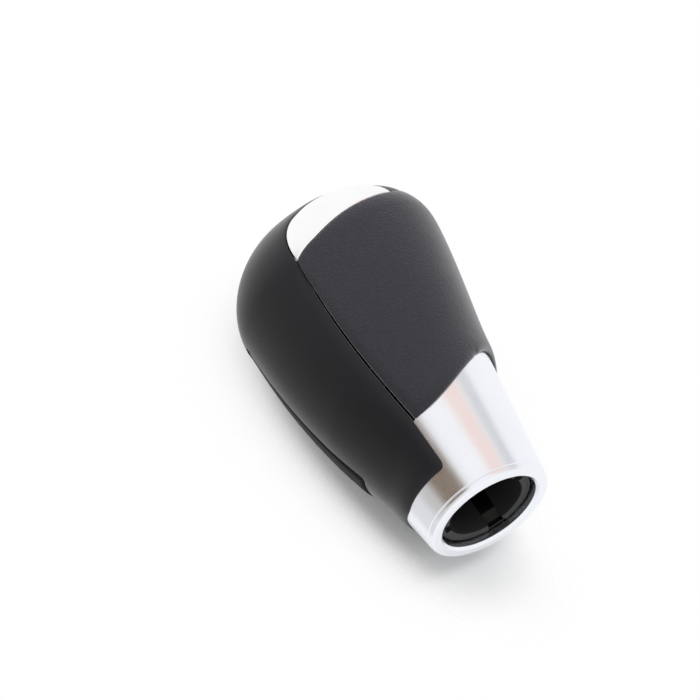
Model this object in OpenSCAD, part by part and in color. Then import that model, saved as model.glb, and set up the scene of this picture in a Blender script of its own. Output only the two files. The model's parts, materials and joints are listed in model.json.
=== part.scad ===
// Gear shift knob for an automatic gearbox: leather front band and palm pad,
// silver side trims, satin collar, and a long release trigger at the front.
// Origin: centre of the collar's end face. +Z runs up the lever's axis to the
// crown, -Y is the front (trigger) side, +Y is the palm side, +X is the side
// that the photograph shows.

/* [Outer form] */
// Height of the crown above the collar's end face
crown_h = 107; // [105:0.5:109]
// How far the crown's highest point lies behind the lever axis
crown_y = 1; // [0:0.5:2]
// Furthest reach of the front side from the lever axis
front_reach = 30.4; // [29.8:0.1:31]
// Height of the front side's furthest point
front_z = 78.5; // [77.5:0.5:80]
// Furthest reach of the palm side from the lever axis
rear_reach = 33; // [32:0.1:34]
// Height of the palm side's furthest point
rear_z = 84; // [83:0.5:85]
// Half of the head's greatest width
half_w = 24.3; // [23.8:0.1:25]
// Squareness of the head's sections, where 2 is an ellipse
section_power = 2.4; // [2.2:0.05:2.5]

/* [Collar] */
// Outer radius of the collar at its end face
collar_r = 17.2; // [17:0.1:17.5]
// Growth of the collar's radius for each millimetre of height
collar_taper = 0.15; // [0.14:0.01:0.17]
// Wall of the collar
collar_wall = 1.6; // [1.4:0.1:1.8]
// Radius of the opening in the collar's end face
mouth_r = 13.7; // [13.6:0.1:14]
// Height of the leather's lower edge at the front of the waist
waist_front_z = 14.8; // [14.4:0.1:15.4]
// Height of the palm pad's lower edge at the rear
waist_rear_z = 35.4; // [34.8:0.1:36]
// Height of the front band's foot, which laps over the collar
foot_z = 9; // [8.5:0.1:10]
// How far the foot's edge arches up under the trigger
foot_rise = 3; // [0:0.5:3.5]
// Radius of the foot's two corners
foot_corner_r = 2.3; // [1.5:0.1:3]

/* [Coverings] */
// How far the leather stands proud of the collar
leather_step = 1.1; // [1.05:0.05:1.2]
// Thickness of the leather
leather_t = 1; // [0.9:0.05:1]
// Thickness of the foam under the palm pad
foam_t = 0.9; // [0.8:0.05:1]
// Wall of the two shells
shell_t = 1.8; // [1.6:0.1:2]
// Width of the seams between the coverings
seam_gap = 0.6; // [0.4:0.1:0.8]
// Place of the side seams at the waist, in front of the lever axis
seam_low_y = 3.2; // [3:0.1:3.6]
// Place of the side seams at the front tip of the trims
seam_high_y = 5.1; // [4.8:0.1:5.4]
// How strongly the side seams bow towards the front in their upper half
seam_bow = 10; // [6:1:12]
// Share of the head's meridian at which the trims' front tips lie
trim_tip_share = 0.506; // [0.5:0.002:0.512]

/* [Trigger] */
// Width of the release trigger
trigger_w = 14; // [13:0.5:14.5]
// Height of the trigger's lower end
trigger_low_z = 25.5; // [25:0.5:26.5]
// How far the trigger's lower end stands proud of the head's form
trigger_proud = 0.9; // [0.5:0.1:1.1]
// Wall of the trigger's cap
trigger_cap_t = 2; // [1.8:0.1:2.2]
// Distance of the trigger's hinge behind the front side's furthest reach
pivot_inset = 8.9; // [8.6:0.1:9.2]
// Height of the trigger's hinge
pivot_z = 80; // [79.5:0.5:80.5]
// Radius of the hinge pin and of the cross pin
pin_r = 1.5; // [1.4:0.1:1.6]
// Radial clearance of pins and slides
running_gap = 0.05; // [0.04:0.01:0.08]

/* [Lever fittings] */
// Radius of the bore that takes the lever
lever_bore_r = 10.6; // [10.4:0.1:10.8]
// Outer radius of the locking sleeve
sleeve_r = 13.1; // [13:0.1:13.2]
// Height of the locking sleeve's lower end in the mouth
sleeve_z = 2.4; // [2:0.1:2.8]
// Width of the two keyways
key_w = 3.2; // [3:0.1:3.4]
// Radius of the release slider
slider_r = 8; // [7.8:0.1:8.1]
// Radius of the socket for the lever's release rod
rod_r = 2.6; // [2.5:0.1:3]

/* [Hidden] */
$fn = 96;
black = [0.09, 0.09, 0.10];
dark_grey = [0.25, 0.25, 0.27];
// Radius of the leather around the collar at height z
function band_r(z) = collar_r + leather_step + collar_taper * z;
waist_z = (waist_front_z + waist_rear_z) / 2;
waist_rise = (waist_rear_z - waist_front_z) / 2;
waist_slope = 2 * waist_rise / (band_r(waist_rear_z) + band_r(waist_front_z));
waist_y = (band_r(waist_rear_z) - band_r(waist_front_z)) / 2;
// Length of skirt below the waist that one unit beyond the map's rim stands for
skirt_unit = 20;
taper_dir = [collar_taper, 1] / norm([collar_taper, 1]);
// Depths of the layers under the head's outer form
foam_top = leather_t + 0.2;
front_shell_top = leather_t + 0.35;
front_shell_low = front_shell_top + shell_t;
rear_shell_top = foam_top + foam_t + 0.25;
rear_shell_low = rear_shell_top + shell_t;
// Curves of the seams and trims on the flat map of the head
trim_rear_tip = [0.262, 0.335];
trim_front_handles = [[0.279, -0.066], [0.013, 0.125]];
trim_rear_handles = [[0.442, 0.036], [0.412, 0.235]];
back_seam_rise = 0.053;
// Share of a patch's breadth that half a seam takes
seam_inset = seam_gap / 200;
window_w = trigger_w + 0.8;
window_low_z = trigger_low_z - 0.6;
window_top_z = 78.9;
pivot_y = front_reach - pivot_inset;
core_plate_z = [40, 66];
core_plate_t = 5;
screw_r = 1.1;
screw_head_r = 1.6;
screw_head_t = 0.8;
// How far the screws' heads are sunk below the shells' outer face
screw_sunk = 0.6;
guide_r = slider_r + running_gap;
guide_top_z = 95;

// Point on a cubic curve with the four points in p
function cubic(p, t) =
    pow(1 - t, 3) * p[0] + 3 * pow(1 - t, 2) * t * p[1] + 3 * (1 - t) * t * t * p[2] + pow(t, 3) * p[3];
// Point on a line of two cubic curves
function cubic_pair(low, high, t) = t < 0.5 ? cubic(low, 2 * t) : cubic(high, 2 * t - 1);
// Power that keeps the sign
function signed_pow(v, p) = sign(v) * pow(abs(v), p);
function mix(a, b, t) = a + (b - a) * t;

// Meridian of the front, from the waist (0) to the crown (1), as [y, z]
function front_meridian(t) = cubic_pair(
    [[-band_r(waist_front_z), waist_front_z],
     [-band_r(waist_front_z) - 8 * taper_dir[0], waist_front_z + 8 * taper_dir[1]],
     [-front_reach, front_z - 36], [-front_reach, front_z]],
    [[-front_reach, front_z], [-front_reach, mix(front_z, crown_h, 0.48)],
     [mix(crown_y, -front_reach, 0.54), crown_h], [crown_y, crown_h]], t);

// Meridian of the palm side, from the waist (0) to the crown (1), as [y, z]
function rear_meridian(t) = cubic_pair(
    [[band_r(waist_rear_z), waist_rear_z],
     [band_r(waist_rear_z) + 8 * taper_dir[0], waist_rear_z + 8 * taper_dir[1]],
     [rear_reach, rear_z - 8], [rear_reach, rear_z]],
    [[rear_reach, rear_z], [rear_reach, mix(rear_z, crown_h, 0.53)],
     [mix(crown_y, rear_reach, 0.51), crown_h], [crown_y, crown_h]], t);

// Half width of the section at share t of the meridians
function side_reach(t) = cubic_pair(
    [band_r(waist_z), band_r(waist_z) + 0.6, half_w, half_w],
    [half_w, half_w, 0.6 * half_w, 0], t);

function power_at(t) = mix(2, section_power, min(1, 4 * t));

// Point of the head's form at angle a from the rear and share t of the meridians
function head_point(a, t) =
    let (f = front_meridian(t), r = rear_meridian(t), n = 2 / power_at(t), c = signed_pow(cos(a), n))
    [side_reach(t) * signed_pow(sin(a), n), (f[0] + r[0]) / 2 + c * (r[0] - f[0]) / 2,
     (f[1] + r[1]) / 2 + c * (r[1] - f[1]) / 2];

// Point of the form below the waist, where it runs down over the collar
function skirt_point(a, d) =
    let (w = head_point(a, 0), r = norm([w[0], w[1]]), s = (r - collar_taper * d) / r)
    [w[0] * s, w[1] * s, w[2] - d];

// The flat map: the crown is its centre and the waist its rim, with the rear at +y
function map_point(m) =
    let (a = atan2(m[0], m[1]), d = norm(m))
    d <= 1 ? head_point(a, 1 - d) : skirt_point(a, (d - 1) * skirt_unit);

function unit(v) = v / norm(v);
map_step = 0.004;
function map_normal(m) = unit(cross(
    map_point(m + [map_step, 0]) - map_point(m - [map_step, 0]),
    map_point(m + [0, map_step]) - map_point(m - [0, map_step])));

// Point at depth under the form
function under(m, depth) = map_point(m) - depth * map_normal(m);

// Angle of the point of share t that has the given y
function angle_at(y, t) =
    let (f = front_meridian(t)[0], r = rear_meridian(t)[0], q = (2 * y - f - r) / (r - f))
    acos(signed_pow(max(-1, min(1, q)), power_at(t) / 2));

// Share of the meridians at the point that has the given y and z
function share_at(y, z, low = 0, high = 0.9, steps = 16) =
    steps == 0 ? (low + high) / 2 :
    let (t = (low + high) / 2)
    head_point(angle_at(y, t), t)[2] < z ? share_at(y, z, t, high, steps - 1)
                                         : share_at(y, z, low, t, steps - 1);

// Side seam on the map: from the waist (0) to the trim's front tip (1)
function seam_y(t) = let (s = max(0, min(1, t / trim_tip_share)))
    -mix(seam_low_y, seam_high_y, s) - seam_bow * s * s * (1 - s);
function seam_map(s) =
    let (t = s * trim_tip_share, a = angle_at(seam_y(t), t))
    (1 - t) * [sin(a), cos(a)];
trim_tip = seam_map(1);
function trim_front_edge(s) =
    cubic([trim_tip, trim_front_handles[0], trim_front_handles[1], trim_rear_tip], s);
function trim_rear_edge(s) =
    cubic([trim_tip, trim_rear_handles[0], trim_rear_handles[1], trim_rear_tip], s);
// Seam across the back of the crown, from the right trim (0) to the left (1)
function back_seam(s) =
    [mix(trim_rear_tip[0], -trim_rear_tip[0], s), trim_rear_tip[1] + back_seam_rise * 4 * s * (1 - s)];
function mirrored(m) = [-m[0], m[1]];

// The foot's rounded corners: the way along an edge from the sharp corner, and how far
// the arc has left that edge there
function corner_run(d) = d >= foot_corner_r ? d : foot_corner_r * 0.293 + 0.707 * d;
function corner_lift(d) =
    d >= foot_corner_r ? 0 : foot_corner_r - sqrt(pow(foot_corner_r, 2) - pow(foot_corner_r - d, 2));

// Height of the foot's edge at angle a, which arches up under the trigger
function foot_line(a) = foot_z + foot_rise * pow(max(0, (-cos(a) - 0.9) / 0.1), 2);
// Lower edge of the front band, from the left seam (0) over the front to the right (1)
seam_foot_angle = angle_at(-seam_low_y, 0);
skirt_at_seam = head_point(seam_foot_angle, 0)[2] - foot_z;
mm_to_turn = 180 / (PI * band_r(foot_z));
function foot_map(s) =
    let (half = 180 - seam_foot_angle, run = corner_run(min(s, 1 - s) * 2 * half / mm_to_turn),
         a = 180 + (s < 0.5 ? 1 : -1) * (half - run * mm_to_turn), w = head_point(a, 0))
    (1 + (w[2] - foot_line(a) - corner_lift(run)) / skirt_unit) * [sin(a), cos(a)];
function waist_map(s) =
    let (a = mix(seam_foot_angle, -seam_foot_angle, s))
    [sin(a), cos(a)];

// Right edge of the front band: the skirt, the seam and the trim's front edge
function skirt_side(s) =
    let (run = corner_run(s * skirt_at_seam), a = seam_foot_angle + corner_lift(run) * mm_to_turn)
    (1 + (skirt_at_seam - run) / skirt_unit) * [sin(a), cos(a)];
function front_side(v) =
    v < 0.2 ? skirt_side(v / 0.2) :
    v < 0.65 ? seam_map((v - 0.2) / 0.45) : trim_front_edge((v - 0.65) / 0.35);
// Surface patch that fills four edges
function fill(bottom, top, left, right, corners, u, v) =
    (1 - v) * bottom + v * top + (1 - u) * left + u * right
    - (1 - v) * ((1 - u) * corners[0] + u * corners[1]) - v * ((1 - u) * corners[2] + u * corners[3]);
function front_patch(u, v) = fill(
    foot_map(u), back_seam(1 - u), mirrored(front_side(v)), front_side(v),
    [foot_map(0), foot_map(1), mirrored(trim_rear_tip), trim_rear_tip], u, v);

// Upper edge of the palm side, from the right trim's tip (0) to the left one (1)
function rear_top(s, edge) =
    s < 0.3 ? (edge == "rear" ? trim_rear_edge(s / 0.3) : trim_patch(s / 0.3, 0.5)) :
    s > 0.7 ? mirrored(rear_top(1 - s, edge)) : back_seam((s - 0.3) / 0.4);
function rear_patch(u, v, edge) = fill(
    waist_map(u), rear_top(u, edge), seam_map(v), mirrored(seam_map(v)),
    [waist_map(0), waist_map(1), trim_tip, mirrored(trim_tip)], u, v);
function trim_patch(u, v) = mix(trim_front_edge(u), trim_rear_edge(u), v);

// Even steps from a to b, with extra steps close to both ends
function stops(n, inset, near) = concat(
    [inset], [for (d = near) inset + d], [for (i = [1:n - 1]) mix(inset + near[len(near) - 1], 1 - inset - near[len(near) - 1], i / n)],
    [for (i = [len(near) - 1:-1:0]) 1 - inset - near[i]], [1 - inset]);

// Closed solid between two grids of points that have the same rows and columns
module skin(outer, inner) {
    rows = len(outer);
    cols = len(outer[0]);
    half = rows * cols;
    points = concat([for (row = outer, p = row) p], [for (row = inner, p = row) p]);
    rim = concat([for (c = [0:cols - 2]) c], [for (r = [0:rows - 2]) r * cols + cols - 1],
                 [for (c = [cols - 1:-1:1]) (rows - 1) * cols + c], [for (r = [rows - 1:-1:1]) r * cols]);
    faces = concat(
        [for (r = [0:rows - 2], c = [0:cols - 2], k = [0, 1]) let (i = r * cols + c)
            k == 0 ? [i, i + cols, i + 1] : [i + 1, i + cols, i + cols + 1]],
        [for (r = [0:rows - 2], c = [0:cols - 2], k = [0, 1]) let (i = half + r * cols + c)
            k == 0 ? [i, i + 1, i + cols] : [i + 1, i + cols + 1, i + cols]],
        [for (k = [0:len(rim) - 1], e = [0, 1]) let (i = rim[k], j = rim[(k + 1) % len(rim)])
            e == 0 ? [i, j, i + half] : [j, j + half, i + half]]);
    polyhedron(points, faces, convexity = 6);
}

// Depth of a rolled edge: full depth at the rim, none where d reaches the roll's width
function roll(d, depth, width) = d >= width ? 0 : depth * (1 - sqrt(1 - pow(1 - d / width, 2)));

// Layer of the front band between two depths
module front_layer(top, low, rolled, nu, nv, inset) {
    near = [0.006, 0.014];
    us = stops(nu, inset, near);
    vs = stops(nv, inset, near);
    function edge(u, v) = min(min(u, 1 - u), min(v, 1 - v)) - inset;
    outer = [for (v = vs) [for (u = us) under(front_patch(u, v), top + roll(edge(u, v), rolled, 0.014))]];
    inner = [for (v = vs) [for (u = us) under(front_patch(u, v), low)]];
    skin(outer, inner);
}

// Layer of the palm side between two depths, up to the trims' rear edge or their middle
module rear_layer(top, low, rolled, nu, nv, inset, edge_name) {
    near = [0.006, 0.014];
    us = stops(nu, inset, near);
    vs = stops(nv, inset, near);
    function edge(u, v) = min(min(u, 1 - u), min(v, 1 - v)) - inset;
    outer = [for (v = vs) [for (u = us)
        under(rear_patch(u, v, edge_name), top + roll(edge(u, v), rolled, 0.014))]];
    inner = [for (v = vs) [for (u = us) under(rear_patch(u, v, edge_name), low)]];
    skin(outer, inner);
}

// Rounded block that runs along the front axis, for the trigger's window
module window_block(w, low, top, corner) {
    translate([0, -8, 0]) rotate([90, 0, 0]) linear_extrude(40)
        union() {
            translate([-w / 2, low + corner]) square([w, top - low - 2 * corner]);
            translate([-w / 2 + corner, low]) square([w - 2 * corner, top - low]);
            for (x = [-1, 1], z = [low + corner, top - corner])
                translate([x * (w / 2 - corner), z]) circle(corner);
        }
}

// Room for a screw's head and shank in the shell that it holds
module screw_room() {
    translate([0, 0, -screw_head_t - 0.02]) cylinder(r = screw_head_r + 0.1, h = 5);
    translate([0, 0, -6]) cylinder(r = screw_r + 0.1, h = 6);
}

// Screw along +Z with its head's top at the origin
module screw(length) {
    difference() {
        union() {
            translate([0, 0, -screw_head_t]) cylinder(r = screw_head_r, h = screw_head_t);
            translate([0, 0, -length]) cylinder(r = screw_r, h = length - screw_head_t / 2);
        }
        translate([-1.2, -0.25, -0.4]) cube([2.4, 0.5, 1]);
        translate([-0.25, -1.2, -0.4]) cube([0.5, 2.4, 1]);
    }
}

// Sets its children at the side screws of the front shell
module at_side_screws() {
    for (side = [-1, 1], z = core_plate_z) {
        t = share_at(-10, z);
        a = angle_at(-10, t);
        p = under((1 - t) * [sin(a), cos(a)], front_shell_top + screw_sunk);
        translate([side * p[0], -10, z]) rotate([0, side * 90, 0]) children();
    }
}

// Sets its children at the rear screws of the palm side's shell
module at_rear_screws() {
    for (z = core_plate_z) {
        t = share_at(60, z);
        p = under([0, 1 - t], rear_shell_top + screw_sunk);
        translate([0, p[1], z]) rotate([-90, 0, 0]) children();
    }
}

// Half of a level section of the head's inside, at height z
function section_half(z, n) = [for (i = [0:n]) let (
    y = mix(-front_reach + 2, rear_reach, (1 - cos(180 * i / n)) / 2), t = share_at(y, z),
    a = angle_at(y, t), deep = y < -seam_high_y - 2.2 ? front_shell_low : rear_shell_low,
    p = under((1 - t) * [sin(a), cos(a)], deep + 0.3)) [max(0, p[0]), p[1]]];

module core_plate(z) {
    right = section_half(z - core_plate_t / 2, 36);
    left = [for (i = [len(right) - 1:-1:0]) [-right[i][0], right[i][1]]];
    translate([0, 0, z - core_plate_t / 2]) linear_extrude(core_plate_t)
        difference() {
            polygon(concat(right, left));
            translate([-9.5, -40]) square([19, 36]);
        }
}

// Everything above a plane that lies the given height above the waist
module above_waist(rise) {
    translate([0, waist_y, waist_z + rise]) rotate([atan(waist_slope), 0, 0])
        translate([-60, -60, 0]) cube([120, 120, 90]);
}

// Inside radius of the collar's wall
function collar_in(z) = collar_r + collar_taper * z - collar_wall;

module collar_solid() {
    rotate_extrude() polygon([
        [mouth_r + 0.7, 0], [collar_r - 0.8, 0], [collar_r - 0.2, 0.3], [collar_r + 0.1, 1],
        [collar_r + collar_taper * 1.5, 1.5], [collar_r + collar_taper * 1.7 - 0.2, 1.7],
        [collar_r + collar_taper * 1.9, 1.9], [collar_r + collar_taper * 40, 40],
        [collar_in(40), 40], [collar_in(4.4), 4.4], [mouth_r, 3.2], [mouth_r, 0.7]]);
}

module collar() {
    color([0.86, 0.86, 0.88]) difference() {
        collar_solid();
        above_waist(0.9);
    }
}

module locking_sleeve() {
    color(black) difference() {
        union() {
            translate([0, 0, sleeve_z]) cylinder(r = sleeve_r, h = 30 - sleeve_z);
            translate([0, 0, 27]) cylinder(r = sleeve_r + 0.5, h = 3);
            for (a = [38, 142]) rotate([0, 0, a]) translate([-13.55, -0.8, sleeve_z + 0.3]) cube([1.2, 1.6, 2.2]);
        }
        translate([0, 0, -1]) cylinder(r = lever_bore_r, h = 40);
        rotate([0, 0, -19]) translate([-key_w / 2, 0, 0]) cube([key_w, lever_bore_r + 1.5, 40]);
        rotate([0, 0, 7]) translate([-key_w / 2, -lever_bore_r - 1.5, 0]) cube([key_w, lever_bore_r + 1.5, 40]);
        translate([-sleeve_r - 2, -2.6, 0]) cube([6, 5.2, sleeve_z + 11]);
    }
}

module retaining_clip() {
    color([0.75, 0.75, 0.75]) translate([0, 2.3, 0]) rotate([90, 0, 0]) linear_extrude(4.6)
        polygon([for (p = [[0, 0.2], [0.6, 0.2], [0.6, 1.4], [2.1, 3.8], [2.1, 4.8], [0.6, 7.4],
                           [0.6, 10.8], [0, 10.8], [0, 7.2], [1.4, 4.6], [1.4, 4], [0, 1.7]])
                 [p[0] - sleeve_r + 0.35, p[1] + sleeve_z]]);
}

module core_skirt() {
    rotate_extrude() polygon([
        [sleeve_r + 0.05, 5], [collar_in(5) - 0.05, 5], [collar_in(24) - 0.05, 24],
        [collar_in(24) - 0.05, 33.5], [lever_bore_r + 0.3, 33.5], [lever_bore_r + 0.3, 30.05],
        [sleeve_r + 0.55, 30.05], [sleeve_r + 0.55, 26.95], [sleeve_r + 0.05, 26.95]]);
}

module core() {
    color(dark_grey) difference() {
        union() {
            difference() {
                core_skirt();
                above_waist(0.2);
            }
            translate([0, 0, 20]) cylinder(r = sleeve_r + 2.6, h = 13.5);
            translate([0, 0, 30.05]) cylinder(r = 13, h = 33.4 - 0.05);
            translate([0, 0, 60]) cylinder(r = guide_r + 2.2, h = guide_top_z - 60);
            for (z = core_plate_z) core_plate(z);
            for (x = [-1, 1]) translate([x * 7.9 - 1.3, 0, 0]) rotate([90, 0, 90]) linear_extrude(2.6)
                union() {
                    translate([-pivot_y, pivot_z]) circle(3.2);
                    polygon([[-pivot_y, pivot_z + 3.2], [-5, pivot_z + 5], [-5, pivot_z - 9],
                             [-pivot_y - 1, pivot_z - 3]]);
                }
        }
        translate([0, 0, -1]) cylinder(r = sleeve_r + 0.05, h = 28);
        translate([0, 0, 26.95]) cylinder(r = sleeve_r + 0.55, h = 3.1);
        translate([0, 0, 30]) cylinder(r = lever_bore_r + 0.3, h = 18);
        translate([0, 0, 47.9]) cylinder(r = 9, h = 12.1);
        translate([0, 0, 50]) cylinder(r = 5 + running_gap, h = 20);
        translate([0, 0, 63.4]) cylinder(r = guide_r, h = 40);
        translate([-6.6, -40, 70]) cube([13.2, 40, 22]);
        translate([-9.5, -40, 18.5]) cube([19, 40 - 13, 40]);
        translate([-12, -pivot_y, pivot_z]) rotate([0, 90, 0]) cylinder(r = pin_r, h = 24);
        at_side_screws() translate([0, 0, -9]) cylinder(r = screw_r, h = 9);
        at_rear_screws() translate([0, 0, -9]) cylinder(r = screw_r, h = 9);
    }
}

module front_shell() {
    color(dark_grey) difference() {
        front_layer(front_shell_top, front_shell_low, 0, 20, 18, seam_inset + 0.008);
        above_skirt_cut();
        window_block(window_w + 2.4, window_low_z - 1.2, window_top_z + 1.2, 4);
        at_side_screws() screw_room();
    }
}

// Everything below the shells' lower edge, just above the collar's upper edge
module above_skirt_cut() {
    difference() {
        translate([-60, -60, -20]) cube([120, 120, 70]);
        above_waist(1.1);
    }
}

module rear_shell() {
    color(dark_grey) difference() {
        rear_layer(rear_shell_top, rear_shell_low, 0, 20, 16, seam_inset + 0.006, "middle");
        above_skirt_cut();
        at_rear_screws() screw_room();
    }
}

module palm_foam() {
    color([0.2, 0.2, 0.2]) rear_layer(foam_top, foam_top + foam_t, 0, 18, 12, 0.04, "rear");
}

module front_leather() {
    color(black) difference() {
        front_layer(0, leather_t, 0.7, 24, 22, seam_inset);
        window_block(window_w, window_low_z, window_top_z, 3.5);
    }
}

module rear_leather() {
    color(black) rear_layer(0, leather_t, 0.8, 24, 16, seam_inset, "rear");
}

module side_trim() {
    us = [for (i = [0:22]) mix(0.04, 0.97, i / 22)];
    vs = [0, 0.28, 0.5, 0.72, 1];
    function across(u, v) = trim_patch(1 - u, mix(0.03 + 0.06 * (1 - u), 0.97, v));
    skin([for (v = vs) [for (u = us) under(across(u, v), 0.25)]],
         [for (v = vs) [for (u = us) under(across(u, v), rear_shell_top - 0.08)]]);
}

module side_trim_right() {
    color([0.9, 0.9, 0.92]) side_trim();
}

module side_trim_left() {
    color([0.9, 0.9, 0.92]) mirror([1, 0, 0]) side_trim();
}

// Share of the front meridian at height z
function front_share(z, low = 0, high = 0.6, steps = 16) =
    steps == 0 ? (low + high) / 2 :
    let (t = (low + high) / 2)
    front_meridian(t)[1] < z ? front_share(z, t, high, steps - 1) : front_share(z, low, t, steps - 1);

// Front meridian at height z, moved inwards by depth
function front_line(z, depth) = [front_meridian(front_share(z))[0] + depth, z];

module trigger_bezel() {
    heights = [for (i = [0:14]) mix(window_low_z - 1.1, window_top_z + 1.1, i / 14)];
    color(black) intersection() {
        difference() {
            window_block(window_w + 2.2, window_low_z - 1.1, window_top_z + 1.1, 4);
            window_block(window_w - 0.1, window_low_z + 0.05, window_top_z - 0.05, 3.5);
        }
        translate([-20, 0, 0]) rotate([90, 0, 90]) linear_extrude(40)
            polygon(concat([for (z = heights) front_line(z, 1.6 + leather_t)],
                           [for (i = [14:-1:0]) front_line(heights[i], 4.6)]));
    }
}

module bump_stop() {
    color([0.15, 0.15, 0.15]) difference() {
        translate([-3.5, -14.35, 33.5]) cube([7, 6, 4]);
        translate([0, 0, 20]) cylinder(r = 13.02, h = 30);
    }
}

module spring_cap() {
    color(dark_grey) union() {
        translate([0, 0, guide_top_z + 0.02]) cylinder(r = guide_r + 2, h = 2);
        translate([0, 0, guide_top_z - 2]) cylinder(r = guide_r - 0.05, h = 2.1);
        translate([0, 0, guide_top_z - 4.4]) cylinder(r = 2.6, h = 3);
    }
}

module pivot_pin() {
    color([0.7, 0.7, 0.72]) translate([-9.1, -pivot_y, pivot_z]) rotate([0, 90, 0])
        cylinder(r = pin_r, h = 18.2);
}

module front_shell_screws() {
    color([0.7, 0.7, 0.72]) at_side_screws() screw(8);
}

module rear_shell_screws() {
    color([0.7, 0.7, 0.72]) at_rear_screws() screw(8);
}

// How far the trigger stands proud of the form at height z
function proud_at(z) = trigger_proud * min(1, max(0, (74 - z) / 40)) - 0.15;

module trigger_cap() {
    half = trigger_w / 2;
    xs = [-half, -half + 0.4, -half + 1.2, -half / 2, 0, half / 2, half - 1.2, half - 0.4, half];
    low = trigger_low_z;
    top = window_top_z - 0.5;
    ends = [0, 0.2, 0.6, 1.2, 2, 3];
    zs = concat([for (e = ends) low + e], [for (i = [1:18]) mix(low + 3, top - 3, i / 19)],
                [for (i = [5:-1:0]) top - ends[i]]);
    function dome(x) = x * x / (6.7 * half);
    function edge(x, z) = min(half - abs(x), min(z - low, top - z));
    function end_bite(z) = max(0, 3 - min(z - low, top - z));
    function taper_in(z) = (half - 3 + sqrt(9 - pow(end_bite(z), 2))) / half;
    outer = [for (z = zs) [for (x = xs) let (p = front_line(z, -proud_at(z) + dome(x) + roll(edge(x, z), 1.1, 1.2)))
        [x * taper_in(z), p[0], z]]];
    inner = [for (z = zs) [for (x = xs) let (p = front_line(z, trigger_cap_t - proud_at(z) + dome(x)))
        [x * taper_in(z), p[0], z]]];
    color(black) skin(outer, inner);
}

module trigger_lever() {
    spine = [for (i = [0:10]) mix(31, 76, i / 10)];
    color(dark_grey) difference() {
        union() {
            translate([-4, 0, 0]) rotate([90, 0, 90]) linear_extrude(8) union() {
                polygon(concat(
                    [for (z = spine) front_line(z, trigger_cap_t - proud_at(z) + 0.4)],
                    [for (i = [10:-1:0]) front_line(spine[i], trigger_cap_t - proud_at(spine[i]) + 2.6)]));
                polygon([[-pivot_y - 6, 76.2], [-pivot_y - 5.5, 70], [-pivot_y + 2.5, pivot_z - 2.4],
                         [-4, pivot_z - 3.2], [2.4, pivot_z - 3.2], [2.4, pivot_z + 3.2],
                         [-4, pivot_z + 3.2], [-pivot_y, pivot_z + 3.1]]);
                translate([-pivot_y, pivot_z]) circle(3.1);
            }
            translate([-6.4, -pivot_y, pivot_z]) rotate([0, 90, 0]) cylinder(r = 2.9, h = 12.8);
        }
        translate([-10, -pivot_y, pivot_z]) rotate([0, 90, 0]) cylinder(r = pin_r + running_gap, h = 20);
        translate([-10, 0, pivot_z]) rotate([0, 90, 0]) cylinder(r = pin_r + running_gap + 0.02, h = 20);
        translate([-10, 0, pivot_z - pin_r - running_gap - 0.02])
            cube([20, 6, 2 * (pin_r + running_gap + 0.02)]);
    }
}

module release_slider() {
    color([0.85, 0.85, 0.82]) difference() {
        union() {
            translate([0, 0, 63.8]) cylinder(r = slider_r, h = 24.2);
            translate([0, 0, 57]) cylinder(r = 5, h = 7);
            translate([0, 0, 52]) cylinder(r = 3.5, h = 6);
        }
        translate([-6, -10, 73]) cube([12, 13.6, 13]);
        translate([-10, 0, pivot_z]) rotate([0, 90, 0]) cylinder(r = pin_r, h = 20);
    }
}

module cross_pin() {
    color([0.7, 0.7, 0.72]) translate([-7.7, 0, pivot_z]) rotate([0, 90, 0]) cylinder(r = pin_r, h = 15.4);
}

module rod_socket() {
    color([0.8, 0.65, 0.35]) difference() {
        translate([0, 0, 42]) cylinder(r = 6.4, h = 14.95);
        translate([0, 0, 51.9]) cylinder(r = 3.5, h = 8);
        translate([0, 0, 41]) cylinder(r = rod_r, h = 10);
    }
}

module return_spring() {
    turns = 3.5;
    wire = 0.5;
    coil_r = 4.8;
    low = 88.05 + wire;
    high = guide_top_z - 2.05 - wire;
    steps = 70;
    sides = 8;
    rings = [for (i = [0:steps]) let (a = 360 * turns * i / steps, z = mix(low, high, i / steps))
        [for (k = [0:sides - 1]) let (b = 360 * k / sides)
            [(coil_r + wire * cos(b)) * cos(a), (coil_r + wire * cos(b)) * sin(a), z + wire * sin(b)]]];
    points = [for (ring = rings, p = ring) p];
    last = steps * sides;
    color([0.7, 0.7, 0.72]) polyhedron(points, concat(
        [[for (k = [sides - 1:-1:0]) k]], [[for (k = [0:sides - 1]) last + k]],
        [for (i = [0:steps - 1], k = [0:sides - 1], e = [0, 1])
            let (p = i * sides + k, q = i * sides + (k + 1) % sides)
            e == 0 ? [p, q, p + sides] : [q, q + sides, p + sides]]), convexity = 8);
}

core();
front_shell();
rear_shell();
palm_foam();
front_leather();
rear_leather();
side_trim_right();
side_trim_left();
collar();
locking_sleeve();
retaining_clip();
trigger_bezel();
bump_stop();
spring_cap();
pivot_pin();
front_shell_screws();
rear_shell_screws();
trigger_cap();
trigger_lever();
release_slider();
cross_pin();
rod_socket();
return_spring();
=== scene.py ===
"""Gear shift knob: leather front band and palm pad, silver side trims, satin collar.

Sizes in the classes are millimetres in the frame's own axes. The origin is the centre
of the collar's end face, +Z runs up the lever, -Y is the trigger's side and +X the
side that the photograph shows.
"""
import json
import logging
import math
from dataclasses import dataclass, field
from enum import Enum
from typing import Callable, Optional, Sequence, Union

import bmesh
import bpy
import numpy as np
from mathutils import Matrix, Vector


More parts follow.
